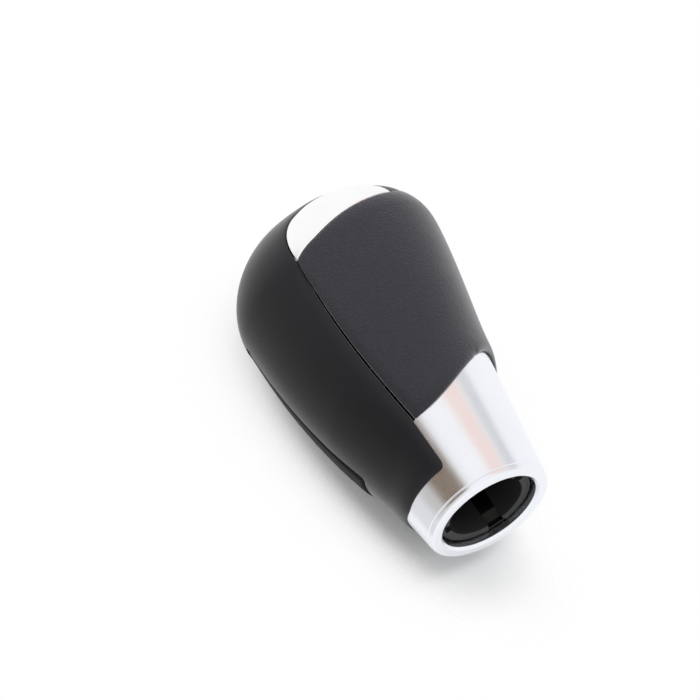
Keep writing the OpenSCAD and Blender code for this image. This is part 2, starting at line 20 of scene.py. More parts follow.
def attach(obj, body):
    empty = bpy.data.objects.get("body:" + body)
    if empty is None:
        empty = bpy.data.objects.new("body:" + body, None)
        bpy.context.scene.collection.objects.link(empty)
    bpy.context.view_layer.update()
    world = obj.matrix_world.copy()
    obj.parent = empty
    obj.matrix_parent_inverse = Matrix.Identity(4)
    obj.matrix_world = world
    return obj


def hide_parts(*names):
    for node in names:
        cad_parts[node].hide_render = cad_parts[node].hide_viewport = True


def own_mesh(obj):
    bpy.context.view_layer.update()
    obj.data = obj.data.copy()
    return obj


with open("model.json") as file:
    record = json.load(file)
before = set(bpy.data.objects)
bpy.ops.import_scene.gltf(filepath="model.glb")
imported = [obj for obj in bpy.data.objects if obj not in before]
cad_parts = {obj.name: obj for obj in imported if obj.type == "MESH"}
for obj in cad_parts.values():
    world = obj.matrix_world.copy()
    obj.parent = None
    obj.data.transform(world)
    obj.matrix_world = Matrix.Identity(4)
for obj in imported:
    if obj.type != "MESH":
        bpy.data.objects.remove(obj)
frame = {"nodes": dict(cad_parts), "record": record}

LOG = logging.getLogger("shift_knob")
MM = 0.001
FLUSH_FROM, FLUSH_TO, FLUSH_ROLL = 70.0, 76.0, 0.3
FRONT_Y = -8.0
INSIDE = (0, 0, 60)
Array = np.ndarray
Triple = tuple[float, float, float]
Colour = Triple
Mesh = bmesh.types.BMesh
Piece = bpy.types.Object
Material = bpy.types.Material
Node = bpy.types.Node
Socket = bpy.types.NodeSocket
Level = Union["Signal", float]
Given = Union["Signal", Socket, float, tuple]


class Slot(Enum):
    """The record's material slots."""

    BAND_LEATHER = "band_leather"
    PALM_LEATHER = "palm_leather"
    TRIM_SILVER = "trim_silver"
    COLLAR_SILVER = "collar_silver"
    BLACK_PLASTIC = "black_plastic"
    GREY_PLASTIC = "grey_plastic"
    WHITE_PLASTIC = "white_plastic"
    STEEL = "steel"
    DARK_STEEL = "dark_steel"
    FOAM = "foam"
    RUBBER = "rubber"
    BRASS = "brass"


class Side(Enum):
    """The two flanks of the knob, as the sign of X."""

    RIGHT = 1
    LEFT = -1


def mix(first: Array, second: Array, share: Array) -> Array:
    """Returns the value that lies the given share of the way from first to second."""
    return first + (second - first) * share


def between(value: Array, start: float, end: float) -> Array:
    """Returns how far a value has come from start to end, held between 0 and 1."""
    return np.clip((value - start) / (end - start), 0, 1)


def crowded(share: Array) -> Array:
    """Returns the shares drawn towards 0 and 1, which crowds vertices at both ends."""
    return (1 - np.cos(np.pi * share)) / 2


def cubic(corners: Sequence, share: Array) -> Array:
    """Follows a cubic curve.

    Args:
        corners: The curve's four control points.
        share: How far along the curve each wanted point lies.

    Returns:
        One point for each share, with the coordinates on the last axis.
    """
    t = np.asarray(share, float)[..., None]
    p = [np.asarray(corner, float) for corner in corners]
    s = 1 - t
    return s ** 3 * p[0] + 3 * s * s * t * p[1] + 3 * s * t * t * p[2] + t ** 3 * p[3]


def cubic_pair(low: Sequence, high: Sequence, share: Array) -> Array:
    """Follows two cubic curves that meet at the middle of the way."""
    t = np.asarray(share, float)
    first = cubic(low, np.clip(2 * t, 0, 1))
    second = cubic(high, np.clip(2 * t - 1, 0, 1))
    return np.where(t[..., None] < 0.5, first, second)


def signed_pow(value: Array, power: Array) -> Array:
    """Raises the size of a value to a power and keeps its sign."""
    return np.sign(value) * np.abs(value) ** power


def polar(angle: Array, reach: Array) -> Array:
    """Returns the flat map's point at an angle from the rear and a reach from the crown."""
    return np.stack([np.sin(angle), np.cos(angle)], -1) * np.asarray(reach)[..., None]


def mirrored(point: Array) -> Array:
    """Returns the point's twin on the other flank."""
    return point * np.array([-1.0, 1.0])


def roll(distance: Array, height: float, width: float) -> Array:
    """Depth of a rolled edge.

    Args:
        distance: How far inside the edge each point lies.
        height: Depth of the roll at the edge itself.
        width: Distance from the edge at which the roll starts.

    Returns:
        The depth at each point, which goes on growing beyond the edge.
    """
    inner = np.clip(1 - distance / width, 0, 1)
    return height * (1 - np.sqrt(1 - inner ** 2)) + np.maximum(0, -distance)


def turned_to(origin: Vector, axes: Sequence[Vector]) -> Matrix:
    """Returns the move to an origin, with the turn to three axes."""
    return Matrix.Translation(origin) @ Matrix(axes).transposed().to_4x4()


def facing(origin: Vector, way: Vector) -> Matrix:
    """Returns the move to an origin, with the turn that makes +Z look that way."""
    return Matrix.Translation(origin) @ way.to_track_quat("Z", "Y").to_matrix().to_4x4()


def flush(z: Array) -> Array:
    """Returns the share of their roll that the trigger's edges keep at a height."""
    return mix(1.0, FLUSH_ROLL, between(z, FLUSH_FROM, FLUSH_TO))


@dataclass(frozen=True)
class HeadForm:
    """The knob's outer form, which every covering follows.

    The flat map of the form has the crown at its centre and the waist as its rim, with
    the rear at +y. Beyond the rim it runs down over the collar.
    """

    crown_h: float = 107.0
    crown_y: float = 1.0
    front_reach: float = 30.4
    front_z: float = 78.5
    front_fall: float = 36.0
    front_round: tuple[float, float] = (0.48, 0.54)
    rear_reach: float = 33.0
    rear_z: float = 84.0
    rear_fall: float = 8.0
    rear_round: tuple[float, float] = (0.53, 0.51)
    straight: float = 8.0
    half_w: float = 24.3
    waist_swell: float = 0.6
    crown_share: float = 0.6
    round_power: float = 2.0
    section_power: float = 2.4
    power_rate: float = 4.0
    collar_r: float = 17.2
    collar_taper: float = 0.15
    leather_step: float = 1.1
    waist_front_z: float = 14.8
    waist_rear_z: float = 35.4
    foot_z: float = 9.0
    foot_rise: float = 1.2
    arch_from: float = 0.9
    foot_corner_r: float = 2.3
    skirt_unit: float = 20.0
    seam_low_y: float = 3.2
    seam_high_y: float = 5.1
    seam_bow: float = 10.0
    trim_tip_share: float = 0.506
    trim_rear_tip: tuple[float, float] = (0.262, 0.335)
    trim_front_bow: tuple = ((0.279, -0.066), (0.013, 0.125))
    trim_rear_bow: tuple = ((0.442, 0.036), (0.412, 0.235))
    back_seam_rise: float = 0.053
    normal_step: float = 0.004
    front_part: float = 0.7
    samples: int = 600

    def band_r(self, z: float) -> float:
        """Returns the radius of the leather around the collar at a height."""
        return self.collar_r + self.leather_step + self.collar_taper * z

    def taper_step(self, length: float) -> tuple[float, float]:
        """Returns how far a step of that length up the collar goes outwards and upwards."""
        size = math.hypot(self.collar_taper, 1)
        return length * self.collar_taper / size, length / size

    def meridian(self, reach: float, middle_z: float, fall: float, rounding: tuple[float, float],
                 waist: tuple[float, float], share: Array) -> Array:
        """Follows one meridian.

        Args:
            reach: Its furthest y, which is negative on the front.
            middle_z: The height of that place.
            fall: How far below that place its pull begins.
            rounding: How far the pull of the furthest place and of the crown goes.
            waist: Radius and height at which it starts.
            share: Shares of the way from the waist (0) to the crown (1).

        Returns:
            (y, z) for each share.
        """
        (r, z), top, side = waist, self.crown_h, math.copysign(1, reach)
        out, rise = self.taper_step(self.straight)
        return cubic_pair(
            [(side * r, z), (side * (r + out), z + rise), (reach, middle_z - fall),
             (reach, middle_z)],
            [(reach, middle_z), (reach, mix(middle_z, top, rounding[0])),
             (mix(self.crown_y, reach, rounding[1]), top), (self.crown_y, top)], share)

    def front_meridian(self, share: Array) -> Array:
        """Returns (y, z) on the front, from the waist (0) to the crown (1)."""
        waist = self.band_r(self.waist_front_z), self.waist_front_z
        return self.meridian(-self.front_reach, self.front_z, self.front_fall, self.front_round,
                             waist, share)

    def rear_meridian(self, share: Array) -> Array:
        """Returns (y, z) on the palm side, from the waist (0) to the crown (1)."""
        waist = self.band_r(self.waist_rear_z), self.waist_rear_z
        return self.meridian(self.rear_reach, self.rear_z, self.rear_fall, self.rear_round,
                             waist, share)

    def side_reach(self, share: Array) -> Array:
        """Returns half the section's width at a share of the meridians."""
        waist = self.band_r((self.waist_front_z + self.waist_rear_z) / 2)
        wide = self.half_w
        return cubic_pair([[waist], [waist + self.waist_swell], [wide], [wide]],
                          [[wide], [wide], [self.crown_share * wide], [0]], share)[..., 0]

    def power_at(self, share: Array) -> Array:
        """Returns the squareness of the section at a share of the meridians."""
        grown = np.minimum(1, self.power_rate * np.asarray(share, float))
        return mix(self.round_power, self.section_power, grown)

    def head_point(self, angle: Array, share: Array) -> Array:
        """Finds points of the form.

        Args:
            angle: Turn from the rear towards +X, in radians.
            share: Share of the meridians.

        Returns:
            The points, in millimetres.
        """
        front, rear = self.front_meridian(share), self.rear_meridian(share)
        power = 2 / self.power_at(share)
        swing = signed_pow(np.cos(angle), power)[..., None]
        middle = (front + rear) / 2 + swing * (rear - front) / 2
        side = self.side_reach(share) * signed_pow(np.sin(angle), power)
        return np.concatenate([side[..., None], middle], -1)

    def map_point(self, place: Array) -> Array:
        """Returns the form's points for places on the flat map."""
        reach = np.hypot(place[..., 0], place[..., 1])
        point = self.head_point(np.arctan2(place[..., 0], place[..., 1]), np.clip(1 - reach, 0, 1))
        drop = np.maximum(0, reach - 1) * self.skirt_unit
        radius = np.maximum(1e-6, np.hypot(point[..., 0], point[..., 1]))
        shrink = np.where(drop > 0, (radius - self.collar_taper * drop) / radius, 1.0)
        return np.stack([point[..., 0] * shrink, point[..., 1] * shrink, point[..., 2] - drop], -1)

    def map_normal(self, place: Array) -> Array:
        """Returns the form's outward directions for places on the flat map."""
        across, along = np.array([self.normal_step, 0.0]), np.array([0.0, self.normal_step])
        normal = np.cross(self.map_point(place + across) - self.map_point(place - across),
                          self.map_point(place + along) - self.map_point(place - along))
        return normal / np.linalg.norm(normal, axis=-1, keepdims=True)

    def under(self, place: Array, depth: Array) -> Array:
        """Returns the points that lie the given depth under the form."""
        return self.map_point(place) - np.asarray(depth)[..., None] * self.map_normal(place)

    def foot_line(self, angle: Array) -> Array:
        """Returns the height of the foot's edge, which arches up under the trigger."""
        return self.foot_z + self.foot_rise * between(-np.cos(angle), self.arch_from, 1) ** 2

    def angle_at(self, y: Array, share: Array) -> Array:
        """Returns the angle at which the form has the given y at a share of the meridians."""
        front, rear = self.front_meridian(share)[..., 0], self.rear_meridian(share)[..., 0]
        swing = np.clip((2 * y - front - rear) / (rear - front), -1, 1)
        return np.arccos(signed_pow(swing, self.power_at(share) / 2))

    def seam_map(self, share: Array) -> Array:
        """Returns the side seam on the map, from the waist (0) to the trim's tip (1)."""
        s = np.clip(np.asarray(share, float), 0, 1)
        t = s * self.trim_tip_share
        y = -mix(self.seam_low_y, self.seam_high_y, s) - self.seam_bow * s * s * (1 - s)
        return polar(self.angle_at(y, t), 1 - t)

    @property
    def seam_angle(self) -> float:
        """Returns the angle of the right side seam at the waist."""
        return float(self.angle_at(np.array(-self.seam_low_y), np.array(0.0)))

    def waist_height(self, angle: Array) -> Array:
        """Returns the height of the map's rim at an angle."""
        return self.head_point(np.asarray(angle), np.zeros_like(angle))[..., 2]

    @property
    def trim_tip(self) -> Array:
        """Returns the place of the right trim's front tip on the map."""
        return self.seam_map(np.array(1.0))

    def trim_front_edge(self, share: Array) -> Array:
        """Returns the right trim's front edge on the map, from its front tip (0)."""
        return cubic([self.trim_tip, *self.trim_front_bow, self.trim_rear_tip], share)

    def trim_rear_edge(self, share: Array) -> Array:
        """Returns the right trim's rear edge on the map, from its front tip (0)."""
        return cubic([self.trim_tip, *self.trim_rear_bow, self.trim_rear_tip], share)

    def back_seam(self, share: Array) -> Array:
        """Returns the seam behind the crown, from the right trim (0) to the left (1)."""
        s = np.asarray(share, float)
        x, y = self.trim_rear_tip
        return np.stack([mix(x, -x, s), y + self.back_seam_rise * 4 * s * (1 - s)], -1)

    def front_height(self, z: Array) -> Array:
        """Returns the front meridian's y at each height."""
        line = self.front_meridian(np.linspace(0, self.front_part, self.samples))
        return np.interp(z, line[:, 1], line[:, 0])


@dataclass(frozen=True)
class Patch:
    """A leather on the map, between its bottom, its top and two sides that mirror each other."""

    form: HeadForm

    def bottom(self, share: Array) -> Array:
        """Returns the lower edge, from its left end (0) to its right one (1)."""
        raise NotImplementedError

    def top(self, share: Array) -> Array:
        """Returns the upper edge, from its left end (0) to its right one (1)."""
        raise NotImplementedError

    def left(self, share: Array) -> Array:
        """Returns the left edge, from its lower end (0) to its upper one (1)."""
        raise NotImplementedError

    def at(self, u: Array, v: Array) -> Array:
        """Finds places inside the patch.

        Args:
            u: Shares of the patch across.
            v: Shares of the patch upwards.

        Returns:
            The map's place for each pair of shares.
        """
        a, b, left = u[..., None], v[..., None], self.left(v)
        low, high = ((1 - a) * line(np.zeros(1)) + a * line(np.ones(1))
                     for line in (self.bottom, self.top))
        edges = (1 - b) * self.bottom(u) + b * self.top(u) + (1 - a) * left + a * mirrored(left)
        return edges - ((1 - b) * low + b * high)


@dataclass(frozen=True)
class BandPatch(Patch):
    """The front band's place, from the foot up to the seam behind the crown."""

    skirt_share: float = 0.2
    seam_share: float = 0.65
    corner_run: float = 0.707

    @property
    def turn(self) -> float:
        """Returns the angle that a millimetre along the foot stands for."""
        return 1 / self.form.band_r(self.form.foot_z)

    def run(self, distance: Array) -> Array:
        """Returns the way along an edge from its sharp corner, for half of a rounded one."""
        r = self.form.foot_corner_r
        return np.where(distance >= r, distance, mix(r, distance, self.corner_run))

    def lift(self, run: Array) -> Array:
        """Returns how far the rounded corner has left its edge there."""
        r = self.form.foot_corner_r
        return r - np.sqrt(r ** 2 - np.clip(r - run, 0, r) ** 2)

    def bottom(self, share: Array) -> Array:
        """Returns the foot's line, from the left seam (0) to the right one (1)."""
        half = math.pi - self.form.seam_angle
        run = self.run(np.minimum(share, 1 - share) * 2 * half / self.turn)
        angle = math.pi + np.where(share < 0.5, 1.0, -1.0) * (half - run * self.turn)
        drop = self.form.waist_height(angle) - self.form.foot_line(angle) - self.lift(run)
        return polar(angle, 1 + drop / self.form.skirt_unit)

    def top(self, share: Array) -> Array:
        """Returns the seam behind the crown."""
        return self.form.back_seam(1 - share)

    def left(self, share: Array) -> Array:
        """Returns the skirt, the seam and the trim's front edge."""
        angle, low, high = self.form.seam_angle, self.skirt_share, self.seam_share
        drop = self.form.waist_height(angle) - self.form.foot_z
        run = self.run(between(share, 0, low) * drop)
        skirt = polar(angle + self.lift(run) * self.turn,
                      1 + (drop - run) / self.form.skirt_unit)
        seam = self.form.seam_map(between(share, low, high))
        trim = self.form.trim_front_edge(between(share, high, 1))
        s = share[..., None]
        return mirrored(np.where(s < low, skirt, np.where(s < high, seam, trim)))


@dataclass(frozen=True)
class PadPatch(Patch):
    """The palm pad's place, from the hem up to the trims, seen from behind."""

    hem_z: Triple = (23.7, 4.0, 9.6)
    rise_unit: float = 48.0
    trim_share: float = 0.3
    fall_share: float = 0.3

    def hem(self, angle: Array) -> Array:
        """Returns the lower edge, which climbs ever steeper towards the rear."""
        turn = np.cos(angle)
        side, first, second = self.hem_z
        wanted = side + first * turn + second * turn ** 2
        drop = self.form.waist_height(angle) - wanted
        unit = np.where(drop > 0, self.form.skirt_unit, self.rise_unit)
        return polar(angle, 1 + drop / unit)

    def top(self, share: Array) -> Array:
        """Returns the upper edge: a trim, the back seam and the other trim."""
        s, part = np.asarray(share, float), self.trim_share
        near = self.form.trim_rear_edge(between(s, 0, part))
        far = mirrored(self.form.trim_rear_edge(between(1 - s, 0, part)))
        back = self.form.back_seam(between(s, part, 1 - part))
        t = s[..., None]
        return np.where(t < part, near, np.where(t > 1 - part, far, back))

    def bottom(self, share: Array) -> Array:
        """Returns the hem."""
        angle = self.form.seam_angle
        return self.hem(mix(angle, -angle, share))

    def left(self, share: Array) -> Array:
        """Returns the side seam, drawn down to the hem."""
        low = self.form.seam_angle
        fall = (1 - between(share, 0, self.fall_share))[..., None] ** 2
        return self.form.seam_map(share) + (self.hem(low) - polar(low, 1.0)) * fall


class Workbench:
    """The steps that every new piece shares, from an empty mesh to the finished object."""

    @staticmethod
    def points(mesh: Mesh) -> Array:
        """Returns the mesh's vertices as rows of numbers."""
        return np.array([vertex.co[:] for vertex in mesh.verts], float)

    @staticmethod
    def place(mesh: Mesh, points: Array) -> None:
        """Moves the mesh's vertices to the points."""
        for vertex, point in zip(mesh.verts, points):
            vertex.co = point

    @staticmethod
    def grid(across: int, upwards: int) -> tuple[Mesh, Array, Array]:
        """Returns a flat grid, with the shares of its width and height at each vertex."""
        mesh = bmesh.new()
        bmesh.ops.create_grid(mesh, x_segments=across, y_segments=upwards, size=0.5)
        flat = Workbench.points(mesh)[:, :2] + 0.5
        return mesh, flat[:, 0], flat[:, 1]

    @staticmethod
    def add(name: str, data: bpy.types.ID) -> Piece:
        """Returns a mesh's, a camera's or a lamp's data as an object of the scene."""
        made = bpy.data.objects.new(name, data)
        bpy.context.scene.collection.objects.link(made)
        return made

    @staticmethod
    def link(name: str, mesh: Mesh) -> Piece:
        """Returns an edited mesh as an object of the scene, and frees it."""
        data = bpy.data.meshes.new(name)
        mesh.to_mesh(data)
        mesh.free()
        return Workbench.add(name, data)

    @staticmethod
    def face_outwards(mesh: Mesh) -> None:
        """Turns an open sheet so that its faces look away from the head's inside."""
        centre = Vector(INSIDE)
        mesh.normal_update()
        votes = sum(face.calc_area() * face.normal.dot(face.calc_center_median() - centre)
                    for face in mesh.faces)
        if votes < 0:
            bmesh.ops.reverse_faces(mesh, faces=mesh.faces[:])

    @staticmethod
    def finish(name: str, mesh: Mesh, slot: Slot, body: str, replaces: Sequence[str],
               wall: float = 0.0, crease: float = 40.0) -> Piece:
        """Turns a mesh in millimetres into a piece of the knob.

        Args:
            name: The piece's name.
            mesh: Its mesh, which is used up.
            slot: The record's slot for the piece, which is not used.
            body: The moving body that it rides on.
            replaces: The CAD nodes that it stands for.
            wall: Thickness that an open sheet gets inwards, in millimetres.
            crease: Angle in degrees above which an edge stays sharp.

        Returns:
            The piece's object.
        """
        for vertex in mesh.verts:
            vertex.co *= MM
        for face in mesh.faces:
            face.smooth = True
        piece = Workbench.link(name, mesh)
        piece.data.set_sharp_from_angle(angle=math.radians(crease))
        if wall:
            thick = piece.modifiers.new("wall", "SOLIDIFY")
            thick.thickness = wall * MM
            thick.offset = -1.0
            thick.use_rim = True
        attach(piece, body)
        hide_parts(*replaces)
        LOG.info("%s: %d faces, stands for %s", name, len(piece.data.polygons),
                 ", ".join(replaces))
        return piece


@dataclass
class Covering:
    """One leather covering, laid out on the flat map and rolled over at its rim."""

    patch: Patch
    columns: int
    rows: int
    rim_width: float
    rim_height: float
    corner_r: float
    flat_above: float
    flat_share: float
    puff: float = 0.0
    puff_reach: float = 7.0
    gap: float = 0.7
    flat_gap: float = 0.24
    flat_run: float = 0.08
    samples: int = 401
    near: tuple[float, ...] = (0.0, 0.04, 0.12, 0.24, 0.38, 0.54, 0.74, 1.0)

    def flatness(self, v: Array) -> Array:
        """Returns how far each height has come into the flat zone beside the trims, 0 to 1."""
        return between(v, self.flat_above, self.flat_above + self.flat_run)

    def stops(self, line: Array, count: int, gap: float) -> tuple[Array, Array]:
        """Spreads a grid's vertices along one of its lines, with more of them at both ends.

        Args:
            line: The line's points at even shares.
            count: Number of steps between the two rims.
            gap: Width of the seam at both ends.

        Returns:
            The shares of the stops, and their distances from the nearer end.
        """
        run = np.concatenate([[0], np.cumsum(np.linalg.norm(np.diff(line, axis=0), axis=1))])
        total = run[-1]
        rim = gap / 2 + np.array(self.near) * self.rim_width
        inner = np.linspace(rim[-1], total - rim[-1], count + 1)[1:-1]
        wanted = np.concatenate([rim, inner, total - rim[::-1]])
        reach = np.minimum(wanted, total - wanted) - gap / 2
        return np.interp(wanted, run, np.linspace(0, 1, len(line))), reach

    def sheet(self) -> Mesh:
        """Lays the covering out as an open sheet.

        Returns:
            The sheet's mesh, in millimetres.
        """
        wide = self.columns + 2 * len(self.near) - 2
        high = self.rows + 2 * len(self.near) - 2
        mesh, flat_u, flat_v = Workbench.grid(wide, high)
        column, row = np.rint(flat_u * wide).astype(int), np.rint(flat_v * high).astype(int)
        patch, form = self.patch, self.patch.form
        dense = np.linspace(0, 1, self.samples)
        across = [self.stops(form.map_point(patch.at(dense, np.full(self.samples, v))),
                             self.columns,
                             float(mix(self.gap, self.flat_gap, self.flatness(v))))
                  for v in np.linspace(0, 1, high + 1)]
        upward = [self.stops(form.map_point(patch.at(np.full(self.samples, u), dense)),
                             self.rows, self.flat_gap)
                  for u in np.mean([stop[0] for stop in across], axis=0)]
        u = np.array([stop[0] for stop in across])[row, column]
        v = np.array([stop[0] for stop in upward])[column, row]
        reach_u = np.array([stop[1] for stop in across])[row, column]
        reach_v = np.array([stop[1] for stop in upward])[column, row]
        small = (reach_u < self.corner_r) & (reach_v < self.corner_r)
        edge = np.where(small, reach_u * reach_v / self.corner_r, np.minimum(reach_u, reach_v))
        ease = mix(1.0, self.flat_share, self.flatness(v))
        depth = roll(edge, self.rim_height, self.rim_width) * ease
        hem = np.where(v < 0.5, np.exp(-(reach_v / self.puff_reach) ** 2), 0)
        depth = depth - self.puff * hem * np.minimum(1, reach_u / self.puff_reach)
        Workbench.place(mesh, form.under(patch.at(u, v), depth))
        Workbench.face_outwards(mesh)
        return mesh


@dataclass
class Window:
    """The opening in the front band that the trigger stands in."""

    width: float = 13.4
    low: float = 24.9
    top: float = 78.9
    corner: float = 1.0
    rim_width: float = 0.7
    rim_height: float = 0.4
    refined: tuple[float, float] = (1.8, 1.1)
    spare: float = 0.75
    slope_step: float = 0.02

    def outside(self, points: Array) -> Array:
        """Returns how far each point lies outside the opening, seen from the front."""
        middle = (self.low + self.top) / 2
        across = np.abs(points[:, 0]) - self.width / 2 + self.corner
        along = np.abs(points[:, 2] - middle) - (self.top - self.low) / 2 + self.corner
        round_off = np.hypot(np.maximum(across, 0), np.maximum(along, 0))
        return round_off + np.minimum(np.maximum(across, along), 0) - self.corner

    def slope(self, points: Array) -> Array:
        """Returns the direction away from the opening at each point, in the x-z plane."""
        across, along = (self.outside(points + way) - self.outside(points - way)
                         for way in self.slope_step * np.eye(3)[[0, 2]])
        away = np.stack([across, np.zeros_like(across), along], -1)
        return away / np.maximum(1e-9, np.linalg.norm(away, axis=1, keepdims=True))

    def cut(self, mesh: Mesh) -> None:
        """Cuts the opening into a sheet and rolls the sheet in around it."""
        for band in self.refined:
            gap = dict(zip(mesh.verts, self.outside(Workbench.points(mesh))))
            near = [edge for edge in mesh.edges if all(
                abs(gap[end]) < band and end.co.y < FRONT_Y for end in edge.verts)]
            bmesh.ops.subdivide_edges(mesh, edges=near, cuts=1, use_grid_fill=True)
        points = Workbench.points(mesh)
        gap = self.outside(points)
        front = points[:, 1] < FRONT_Y
        inside = front & (gap < 0)
        ring = front & (gap < self.rim_width)
        depth = roll(gap, self.rim_height, self.rim_width) * flush(points[:, 2])
        points[inside] -= (self.slope(points) * gap[:, None])[inside]
        points[:, 1] += np.where(ring, depth, 0)
        Workbench.place(mesh, points)
        lost = {vertex for vertex, cut in zip(mesh.verts, inside & (gap < -self.spare)) if cut}
        faces = [face for face in mesh.faces if any(vertex in lost for vertex in face.verts)]
        bmesh.ops.delete(mesh, geom=faces, context="FACES")


@dataclass
class LeatherWork:
    """The front band over the trigger side and crown, and the pad under the palm."""

    form: HeadForm
    wall: float = 0.95
    window: Window = field(default_factory=Window)

    def band(self) -> Piece:
        """Returns the front band, with the trigger's opening in it."""
        cover = Covering(BandPatch(self.form), columns=92, rows=118,
                         rim_width=3.6, rim_height=1.2, corner_r=2.3, flat_above=0.6,
                         flat_share=0.3)
        mesh = cover.sheet()
        self.window.cut(mesh)
        return Workbench.finish("front_band", mesh, Slot.BAND_LEATHER, "knob",
                                ["front_leather"], wall=self.wall, crease=80)

    def pad(self) -> Piece:
        """Returns the palm pad, with its wide rolled edge."""
        cover = Covering(PadPatch(self.form), columns=92, rows=86,
                         rim_width=3.0, rim_height=1.4, corner_r=1.6, flat_above=0.84,
                         flat_share=0.12, puff=0.45)
        piece = Workbench.finish("palm_pad", cover.sheet(), Slot.PALM_LEATHER, "knob",
                                 ["rear_leather"], wall=self.wall, crease=80)
        return piece


@dataclass
class SideTrim:
    """A silver crescent between the band and the pad."""

    form: HeadForm
    side: Side
    gap: float = 0.14
    sunk: float = 0.2
    crown: float = 0.35
    edge_r: float = 0.25
    tip_share: float = 0.006
    most_inset: float = 0.45
    full_crown_width: float = 6.0
    wall: float = 1.6
    steps: tuple[int, int] = (72, 16)

    def build(self) -> Piece:
        """Returns the crescent, slightly crowned, with small rounded edges."""
        mesh, flat_u, flat_v = Workbench.grid(*self.steps)
        u, v = mix(self.tip_share, 1 - self.tip_share, crowded(flat_u)), crowded(flat_v)
        front, rear = self.form.trim_front_edge(u), self.form.trim_rear_edge(u)
        wide = np.linalg.norm(self.form.map_point(front) - self.form.map_point(rear), axis=1)
        inset = np.minimum(self.most_inset, self.gap / np.maximum(wide, 1e-6))
        share = inset + v * (1 - 2 * inset)
        edge = np.minimum(v, 1 - v) * (1 - 2 * inset) * wide
        swell = self.crown * np.minimum(1, wide / self.full_crown_width) * 4 * v * (1 - v)
        depth = self.sunk - swell + roll(edge, self.edge_r, self.edge_r)
        points = self.form.under(mix(front, rear, share[:, None]), depth)
        points[:, 0] *= self.side.value
        Workbench.place(mesh, points)
        Workbench.face_outwards(mesh)
        name = "side_trim_" + self.side.name.lower()
        return Workbench.finish(name + "_silver", mesh, Slot.TRIM_SILVER, "knob", [name],
                                wall=self.wall, crease=60)


@dataclass
class TriggerCap:
    """The long release trigger's smooth cap."""

    form: HeadForm
    width: float = 12.7
    low: float = 25.5
    top: float = 78.7
    proud: float = 0.65
    corner: float = 0.9
    edge_r: float = 0.8
    side_depth: float = 1.6
    seated: float = 0.15
    proud_from: float = 74.0
    proud_run: float = 40.0
    dome_spread: float = 47.0
    crowding: float = 0.75
    wall: float = 1.4
    steps: tuple[int, int] = (28, 96)

    def build(self) -> Piece:
        """Returns the cap: a slightly domed face whose edges roll into low side walls."""
        mesh, flat_u, flat_v = Workbench.grid(*self.steps)
        z = mix(self.low, self.top, mix(flat_v, crowded(flat_v), self.crowding))
        end = np.minimum(z - self.low, self.top - z)
        bite = np.clip(self.corner - end, 0, self.corner)
        half = self.width / 2 - self.corner + np.sqrt(self.corner ** 2 - bite ** 2)
        x = half * (2 * crowded(flat_u) - 1)
        edge = np.minimum(half - np.abs(x), end)
        lifted = between(z, self.proud_from, self.proud_from - self.proud_run)
        y = self.form.front_height(z) - self.proud * lifted + self.seated
        y = y + x * x / self.dome_spread + roll(edge, self.edge_r, self.edge_r) * flush(z)
        Workbench.place(mesh, np.stack([x, y, z], -1))
        Workbench.face_outwards(mesh)
        rim = [side for side in mesh.edges if side.is_boundary]
        wall = bmesh.ops.extrude_edge_only(mesh, edges=rim)["geom"]
        moved = [part for part in wall if isinstance(part, bmesh.types.BMVert)]
        bmesh.ops.translate(mesh, verts=moved, vec=Vector((0, self.side_depth, 0)))
        return Workbench.finish("trigger_face", mesh, Slot.BLACK_PLASTIC, "trigger",
                                ["trigger_cap"], wall=self.wall, crease=50)


@dataclass
class Turning:
    """A turned solid round the lever axis, from a closed profile of (radius, height)."""

    profile: Sequence[tuple[float, float]]
    rounding: float = 0.2
    steps: int = 180

    def turn(self, mesh: Mesh, start: float = 0.0, sweep: float = 360.0) -> None:
        """Adds the turned solid, or a part of it, to a mesh.

        Args:
            mesh: The mesh that it is added to.
            start: Angle from +X at which it starts, in degrees.
            sweep: Angle that it covers, in degrees.
        """
        part = bmesh.new()
        for radius, height in self.profile:
            part.verts.new((radius, 0, height))
        part.faces.new(part.verts[:])
        bmesh.ops.bevel(part, geom=part.verts[:], offset=self.rounding, affect="VERTICES",
                        segments=4, profile=0.5, material=-1, clamp_overlap=True)
        bmesh.ops.delete(part, geom=part.faces[:], context="FACES_ONLY")
        bmesh.ops.rotate(part, verts=part.verts[:], cent=(0, 0, 0),
                         matrix=Matrix.Rotation(math.radians(start), 3, "Z"))
        whole = sweep >= 360
        bmesh.ops.spin(part, geom=part.verts[:] + part.edges[:], cent=(0, 0, 0), axis=(0, 0, 1),
                       angle=math.radians(sweep), steps=max(4, round(self.steps * sweep / 360)),
                       use_merge=whole)
        if not whole:
            ends = [edge for edge in part.edges if edge.is_boundary]
            bmesh.ops.holes_fill(part, edges=ends, sides=0)
        bmesh.ops.remove_doubles(part, verts=part.verts[:], dist=1e-4)
        bmesh.ops.recalc_face_normals(part, faces=part.faces[:])
        data = bpy.data.meshes.new("turning")
        part.to_mesh(data)
        part.free()
        mesh.from_mesh(data)
        bpy.data.meshes.remove(data)


